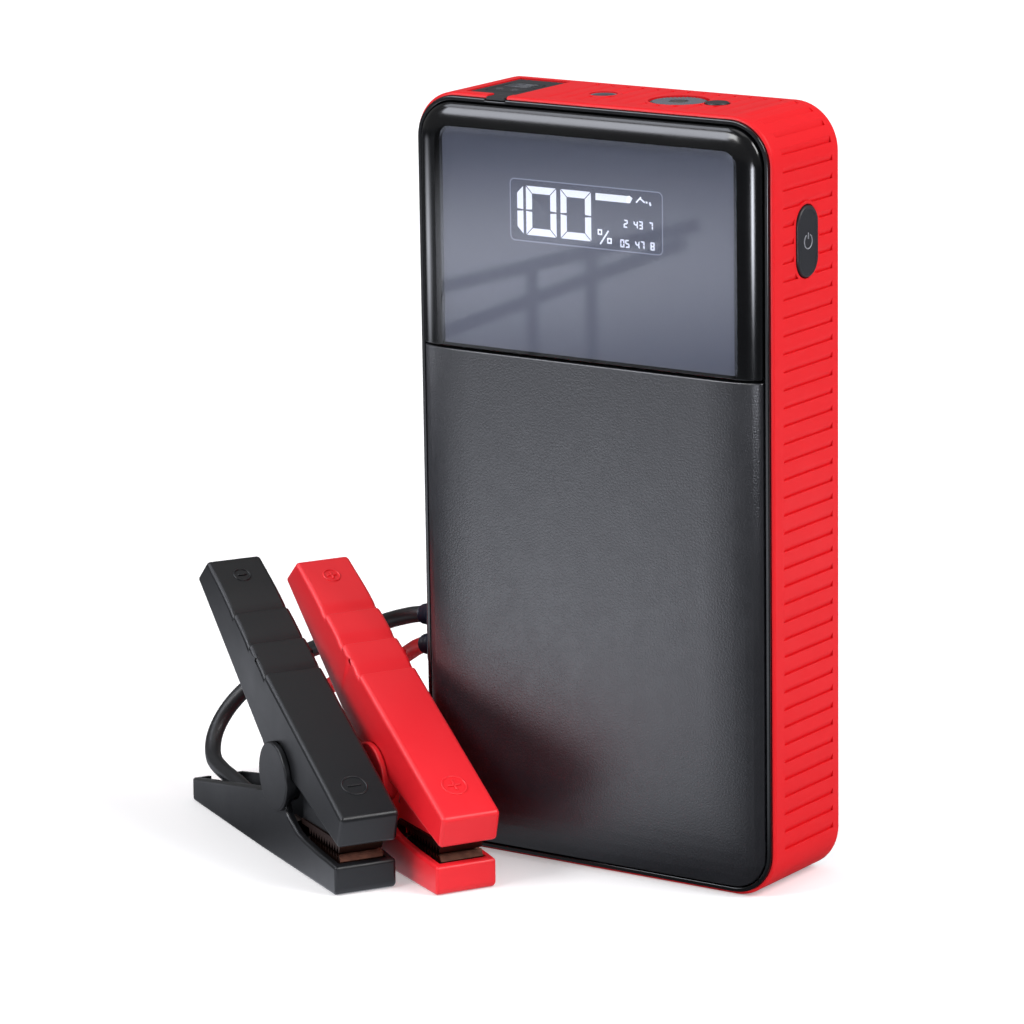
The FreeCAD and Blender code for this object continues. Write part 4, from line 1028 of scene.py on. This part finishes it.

# the pale ring round the panel: a painted highlight along its edge
rim = makeRing(size, display["edge"] * mm, display["corner"] * mm)
standUp(rim, middle, filmY - display["edge step"] * mm, display["edge thick"] * mm)
finishPiece(rim, "display_panel_edge", "lcd_dark", "case", look="display_edge_painted_highlight")

figures = bmesh.new()
digit = display["digit"]
for figure, left, width in display["digits"]:
    addDigit(figures, figure, left, digit["top"], width, digit, litY)
finishPiece(figures, "display_digits", "lcd_dark", "case", look="display_lit")

marks = bmesh.new()
for mark in display["marks"]:
    addMark(marks, *mark)
small = display["small"]
for row, top, left in display["rows"]:
    for place, figure in enumerate(row):
        if figure != " ":
            addDigit(marks, figure, left + small["pitch"] * place, top, small["width"], small, litY)
addMark(marks, *display["percent"]["stroke"])
for left, top in display["percent"]["rings"]:
    for across, down, width, height in display["ring bars"]:
        addMark(marks, left + across, top + down, width, height)
finishPiece(marks, "display_marks", "lcd_dark", "case", look="display_lit")
print("display made")


# shells of the case, with the soft edges of a moulding
shells = {
    "side_band": {"piece": "ribbed_band", "round": None},
    "front_frame": {"piece": "front_rim", "round": (0.25, 3)},
    "front_cover": {"piece": "front_plate", "round": (0.25, 2)},
    "rear_shell": {"piece": "rear_plate", "round": (0.2, 2)},
}
# the front cover's face starts to fall away a little before the solid's crown does
fall = {
    "across": 33,  # mm from the middle, where it starts at the sides
    "low": 24,  # mm up, where it starts at the foot
    "cuts": 7,
    "drop": 2.9,
    "corner": 4,  # how square the corners' contour is
    "outward": 0.3,  # how far a face has to look to the front to belong to the skin
}


def easeCover(work):
    low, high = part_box("front_cover")
    sideRun = high.x / mm - fall["across"]
    footRun = fall["low"] - low.z / mm
    for cut in range(fall["cuts"]):
        share = cut / fall["cuts"]
        for hand in (-1, 1):
            cutPlane(work, (hand * (fall["across"] + sideRun * share) * mm, 0, 0), (1, 0, 0))
        cutPlane(work, (0, 0, (fall["low"] - footRun * share) * mm), (0, 0, 1))
    work.normal_update()
    face = low.y / mm
    for vertex in work.verts:  # only the outer skin, down to where it meets the rim
        if not any(f.normal.y < -fall["outward"] for f in vertex.link_faces):
            continue
        place = vertex.co / mm
        if place.y > face + fall["drop"]:
            continue
        side = max(0, abs(place.x) - fall["across"]) / sideRun
        under = max(0, fall["low"] - place.z) / footRun
        power = fall["corner"]
        reach = min(1, (side**power + under**power) ** (1 / power))
        fallen = face + fall["drop"] * (1 - math.sqrt(1 - reach**2))
        vertex.co.y = max(place.y, fallen) * mm


for name, look in shells.items():
    work = copyOf(name)
    if name == "front_cover":
        easeCover(work)
    finishPiece(work, look["piece"], slotOf[name], "case", stands=[name], rounded=look["round"])
print("shells softened")


# power button: a dished face with a plain ring and bar moulded in it
powerKey = {"dish": 0.2, "edge": 0.55, "round": 0.12}
powerSign = {
    "radius": 1.75,
    "wire": 0.16,
    "opening": 60,  # degrees left open at the top, where the bar stands
    "bar": (0.32, 1.5, 0.3),
    "bar at": 1.35,
    "bar round": 0.08,
    "proud": 0.03,
}
buttonLow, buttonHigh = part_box("power_button")
work = copyOf("power_button")
square = [f for f in work.faces if f.normal.x > squareOn]
outer = [f for f in square if f.calc_center_median().x > buttonHigh.x - slack * mm]
bmesh.ops.inset_region(work, faces=outer, thickness=powerKey["edge"] * mm, use_even_offset=True)
dished = list({v for f in outer for v in f.verts})
moveBy(work, dished, -powerKey["dish"] * mm, 0, 0)
finishPiece(
    work,
    "power_key",
    "button_black",
    "power_button",
    stands=["power_button"],
    rounded=(powerKey["round"], 2),
)

work = bmesh.new()
addHoop(work, powerSign["radius"], powerSign["wire"], 8, 30, powerSign["opening"])
bar = addBlock(work, powerSign["bar"])
moveBy(work, bar, 0, powerSign["bar at"], 0)
roundBlock(work, bar, powerSign["bar round"])
# the sign's X, Y and Z turn into the case's Y, Z and X
upright = Matrix(((0, 0, 1, 0), (1, 0, 0, 0), (0, 1, 0, 0), (0, 0, 0, 1)))
floorX = buttonHigh.x - (powerKey["dish"] - powerSign["proud"]) * mm
middle = (floorX, (buttonLow.y + buttonHigh.y) / 2, (buttonLow.z + buttonHigh.z) / 2)
work.transform(Matrix.Translation(middle) @ upright @ Matrix.Scale(mm, 4))
finishPiece(work, "power_button_sign", "button_black", "power_button", hard=50, look="sign_grey")


# port cover: raised outline, grip ribs and two dots, all in the same rubber, drawn lighter as a painted highlight
relief = {
    "line": 0.44,
    "height": 0.3,
    "outline": (10.4, 13.6),
    "corner": 2.0,
    "ribs": 4,
    "rib": (7.0, 0.55, 0.4),
    "rib at": (2.6, 0.05),
    "pitch": 1.5,
    "dot": 1.1,
    "dot flat": 0.25,  # height of a dot over its radius
    "dots": ((-2.2, -3.8), (2.2, -3.8)),
    "middle y": -1.0,
    "round": 0.1,
}
coverLow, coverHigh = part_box("port_cover")
coverX = (coverLow.x + coverHigh.x) / 2
work = makeRing(relief["outline"], relief["line"], relief["corner"])
thicken(work, relief["height"])
for rib in range(relief["ribs"]):
    made = addBlock(work, relief["rib"])
    inward = (rib - (relief["ribs"] - 1) / 2) * relief["pitch"] + relief["rib at"][0]
    moveBy(work, made, 0, inward, relief["rib at"][1])
for across, inward in relief["dots"]:
    made = bmesh.ops.create_uvsphere(work, u_segments=20, v_segments=8, radius=relief["dot"])["verts"]
    bmesh.ops.scale(work, vec=(1, 1, relief["dot flat"]), verts=made)
    moveBy(work, made, across, inward, 0)
work.transform(Matrix.Translation((coverX, relief["middle y"] * mm, coverHigh.z)) @ Matrix.Scale(mm, 4))
finishPiece(
    work,
    "port_cover_relief",
    "cover_rubber",
    "port_cover",
    rounded=(relief["round"], 2),
    hard=40,
    # the raised lines' lighter grey is a painted highlight
    look="relief_painted_highlight",
)


# torch: fluted glass over a fluted cup, the glass's flutes in a lighter grey as a painted highlight
torch = {"flutes": 40, "raise": 0.12, "rings": (2.4, 4.6, 6.4), "thick": 0.08}
torchLow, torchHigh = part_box("torch_lens")
middle = Vector(((torchLow.x + torchHigh.x) / 2, (torchLow.y + torchHigh.y) / 2, torchHigh.z))
fan = bmesh.new()
bmesh.ops.create_circle(fan, segments=2 * torch["flutes"], radius=torch["rings"][0], cap_ends=False)
edges = fan.edges[:]
for ring in torch["rings"][1:]:
    grown = bmesh.ops.extrude_edge_only(fan, edges=edges)["geom"]
    verts = vertsOf(grown)
    edges = [e for e in grown if isinstance(e, bmesh.types.BMEdge) and all(v in verts for v in e.verts)]
    for vert in verts:
        vert.co *= ring / Vector(vert.co).length
for vert in fan.verts:
    turnShare = math.atan2(vert.co.y, vert.co.x) / (2 * math.pi) * 2 * torch["flutes"]
    reach = math.hypot(vert.co.x, vert.co.y)
    if round(turnShare) % 2 and reach > torch["rings"][0] + slack:
        vert.co.z += torch["raise"]
thicken(fan, torch["thick"])
fan.transform(Matrix.Translation(middle) @ Matrix.Scale(mm, 4))
# the flutes' lighter grey is a painted highlight
finishPiece(fan, "torch_flutes", "lens_clear", "case", hard=20, look="torch_flutes_painted_highlight")
print("top face dressed")


# floor and light
studio = {
    "floorSize": 12,
    "floorColour": "#e9e9eb",
    "glowTint": (1, 0.985, 1, 1),
    "floorGlow": (0.3, 0.5),  # beside the pack and far from it, for the camera alone
    "glowReach": (0.25, 1.0),
    "ambient": 0.45,
    "mirrored": 0.22,  # the room as polished parts show it
    "lamps": {
        "right": {"place": (1.45, 0.25, 1.35), "size": 0.9, "watts": 27},
        "top": {"place": (0.1, 0.2, 2.0), "size": 1.2, "watts": 5},
        "front": {"place": (-0.75, -1.75, 1.55), "size": 0.9, "watts": 31},
    },
    # lit cloths that only polished parts show: place, size, glow; small ones fade toward their edges
    "fadeUnder": 0.1,
    "cloths": (
        ((-0.75, -0.97, 0.9), (0.54, 0.54), 9.5),
        ((-0.75, -0.32, 1.32), (0.6, 0.6), 4.5),
        ((0.098, -0.156, 0.142), (0.056, 0.08), 36.0),
        ((-0.182, -0.075, 0.125), (0.07, 0.09), 9.0),
    ),
    # light paper as polished parts show it: patches on a darker ground, each with place, reach and glow
    "ground": 0.1,
    "patches": (
        ((-0.03, -0.09), 0.09, 1.7),
        ((-0.11, -0.17), 0.11, 4.2),
        ((-0.19, -0.29), 0.13, 4.4),
        ((-0.27, -0.41), 0.15, 4.0),
        ((-0.5, -0.68), 0.32, 2.1),
        ((-0.23, -0.02), 0.16, 1.1),
        ((0.34, 0.22), 0.4, 1.0),
    ),
    "tint": (0.88, 0.91, 1.0, 1),
    # a window's bars as the polished sheet mirrors them: on the sheet from X, Z to X, Z, and width
    "bars": (
        (-60, 136.6, 34, 163.9, 3.2),
        (-60, 123.4, 30, 159.4, 3.2),
        (-15.3, 120, -15.3, 149.6, 3.4),
        (2.3, 120, 2.3, 154.7, 3.4),
    ),
    "barGlow": 0.35,
}
world = bpy.data.worlds.new("studio")
bpy.context.scene.world = world
world.use_nodes = True
world.node_tree.nodes.clear()
rays = addNode(world.node_tree, "LightPath")
mirrored = addNode(
    world.node_tree,
    "MapRange",
    {"To Min": studio["ambient"], "To Max": studio["mirrored"]},
    {"Value": rays.outputs["Is Glossy Ray"]},
)
seen = addNode(
    world.node_tree,
    "Math",
    {"operation": "MAXIMUM"},
    {0: rays.outputs["Is Camera Ray"], 1: mirrored.outputs["Result"]},
)
sky = addNode(world.node_tree, "Background", {"Color": (1, 1, 1, 1)}, {"Strength": seen.outputs["Value"]})
addNode(world.node_tree, "OutputWorld", links={"Surface": sky.outputs["Background"]})

middleOfPack = Vector((0, 0, 0.09))
for name, lamp in studio["lamps"].items():
    lampData = bpy.data.lights.new(name, "AREA")
    lampData.shape = "SQUARE"
    lampData.size = lamp["size"]
    lampData.energy = lamp["watts"]
    lampObject = addObject(name, lampData)
    lampObject.location = lamp["place"]
    lampObject.rotation_euler = (middleOfPack - Vector(lamp["place"])).to_track_quat("-Z", "Y").to_euler()


# a glow that is full at its place and softly gone at its reach
def addFade(tree, away, reach, strength):
    return addNode(
        tree,
        "MapRange",
        {"interpolation_type": "SMOOTHSTEP", "From Max": reach, "To Min": strength, "To Max": 0.0},
        {"Value": away.outputs["Value"]},
    )


def makeSheet(name, size, material):
    work = bmesh.new()
    addSheet(work, size)
    mesh = meshFrom(work, name)
    mesh.materials.append(material)
    made = addObject(name, mesh)
    return made


# the floor: white paper for the eye and for bounced light, and patches of it for mirrors
floorMaterial, tree = startMaterial("floor_paper")
paper = addNode(tree, "BsdfDiffuse", {"Color": linear(studio["floorColour"])})
rays = addNode(tree, "LightPath")
place = addNode(tree, "TexCoord").outputs["Object"]
near = addNode(tree, "VectorMath", {"operation": "LENGTH"}, {0: place})
nearGlow, farGlow = studio["floorGlow"]
glowStart, glowEnd = studio["glowReach"]
spread = addNode(
    tree,
    "MapRange",
    {"From Min": glowStart, "From Max": glowEnd, "To Min": nearGlow, "To Max": farGlow},
    {"Value": near.outputs["Value"]},
)
share = addNode(
    tree,
    "Math",
    {"operation": "MULTIPLY"},
    {0: rays.outputs["Is Camera Ray"], 1: spread.outputs["Result"]},
)
glow = addNode(tree, "Emission", {"Color": studio["glowTint"]}, {"Strength": share.outputs["Value"]})
both = addNode(tree, "AddShader", links={0: paper.outputs["BSDF"], 1: glow.outputs["Emission"]})
total = None
for centre, reach, strength in studio["patches"]:
    away = addNode(tree, "VectorMath", {"operation": "DISTANCE", 1: (*centre, 0)}, {0: place})
    faded = addFade(tree, away, reach, strength)
    total = addNode(
        tree,
        "Math",
        {"operation": "ADD", 1: studio["ground"]},
        {0: faded.outputs["Result"], **({1: total} if total else {})},
    ).outputs["Value"]
mirror = addNode(tree, "Emission", {"Color": studio["tint"]}, {"Strength": total})
floorMix = addNode(
    tree,
    "MixShader",
    links={0: rays.outputs["Is Glossy Ray"], 1: both.outputs["Shader"], 2: mirror.outputs["Emission"]},
)
addNode(tree, "OutputMaterial", links={"Surface": floorMix.outputs["Shader"]})
makeSheet("floor", (studio["floorSize"], studio["floorSize"]), floorMaterial)

# the bars lie just over the paper, where the polished sheet mirrors them at the photograph's angle
barsMaterial, tree = startMaterial("window_bars")
shade = addNode(tree, "Emission", {"Color": studio["tint"], "Strength": studio["barGlow"]})
addNode(tree, "OutputMaterial", links={"Surface": shade.outputs["Emission"]})
work = bmesh.new()
for x0, z0, x1, z1, width in studio["bars"]:
    across = Vector((z0 - z1, x1 - x0)).normalized() * width / 2
    verts = []
    for x, z, side in ((x0, z0, 1), (x1, z1, 1), (x1, z1, -1), (x0, z0, -1)):
        start = Vector(((x + side * across.x) * mm, frontY, (z + side * across.y) * mm))
        sight = start - Vector(camera["place"])
        heading = Vector((sight.x, -sight.y, sight.z))
        landed = start + heading * (start.z / -heading.z)
        verts.append(work.verts.new((landed.x, landed.y, mm)))
    work.faces.new(verts)
barsMesh = meshFrom(work, "window_bars")
barsMesh.materials.append(barsMaterial)
bars = addObject("window_bars", barsMesh)

mirrorOnly = [bars]
for number, (place, size, strength) in enumerate(studio["cloths"], 1):
    name = f"lit_cloth_{number}"
    material, tree = startMaterial(name)
    glow = addNode(tree, "Emission", {"Color": studio["tint"], "Strength": strength})
    if max(size) < studio["fadeUnder"]:
        spot = addNode(tree, "TexCoord").outputs["Object"]
        share = addNode(
            tree,
            "VectorMath",
            {"operation": "MULTIPLY", 1: (2 / size[0], 2 / size[1], 0)},
            {0: spot},
        )
        away = addNode(tree, "VectorMath", {"operation": "LENGTH"}, {0: share.outputs[0]})
        faded = addFade(tree, away, 1.0, strength)
        tree.links.new(faded.outputs["Result"], glow.inputs["Strength"])
    addNode(tree, "OutputMaterial", links={"Surface": glow.outputs["Emission"]})
    cloth = makeSheet(name, size, material)
    cloth.location = place
    cloth.rotation_euler = (middleOfPack - cloth.location).to_track_quat("Z", "Y").to_euler()
    mirrorOnly.append(cloth)
for sheet in mirrorOnly:
    for way in ("visible_camera", "visible_diffuse", "visible_shadow", "visible_transmission"):
        setattr(sheet, way, False)
print("studio lit")


bpy.context.scene.view_settings.view_transform = "Standard"
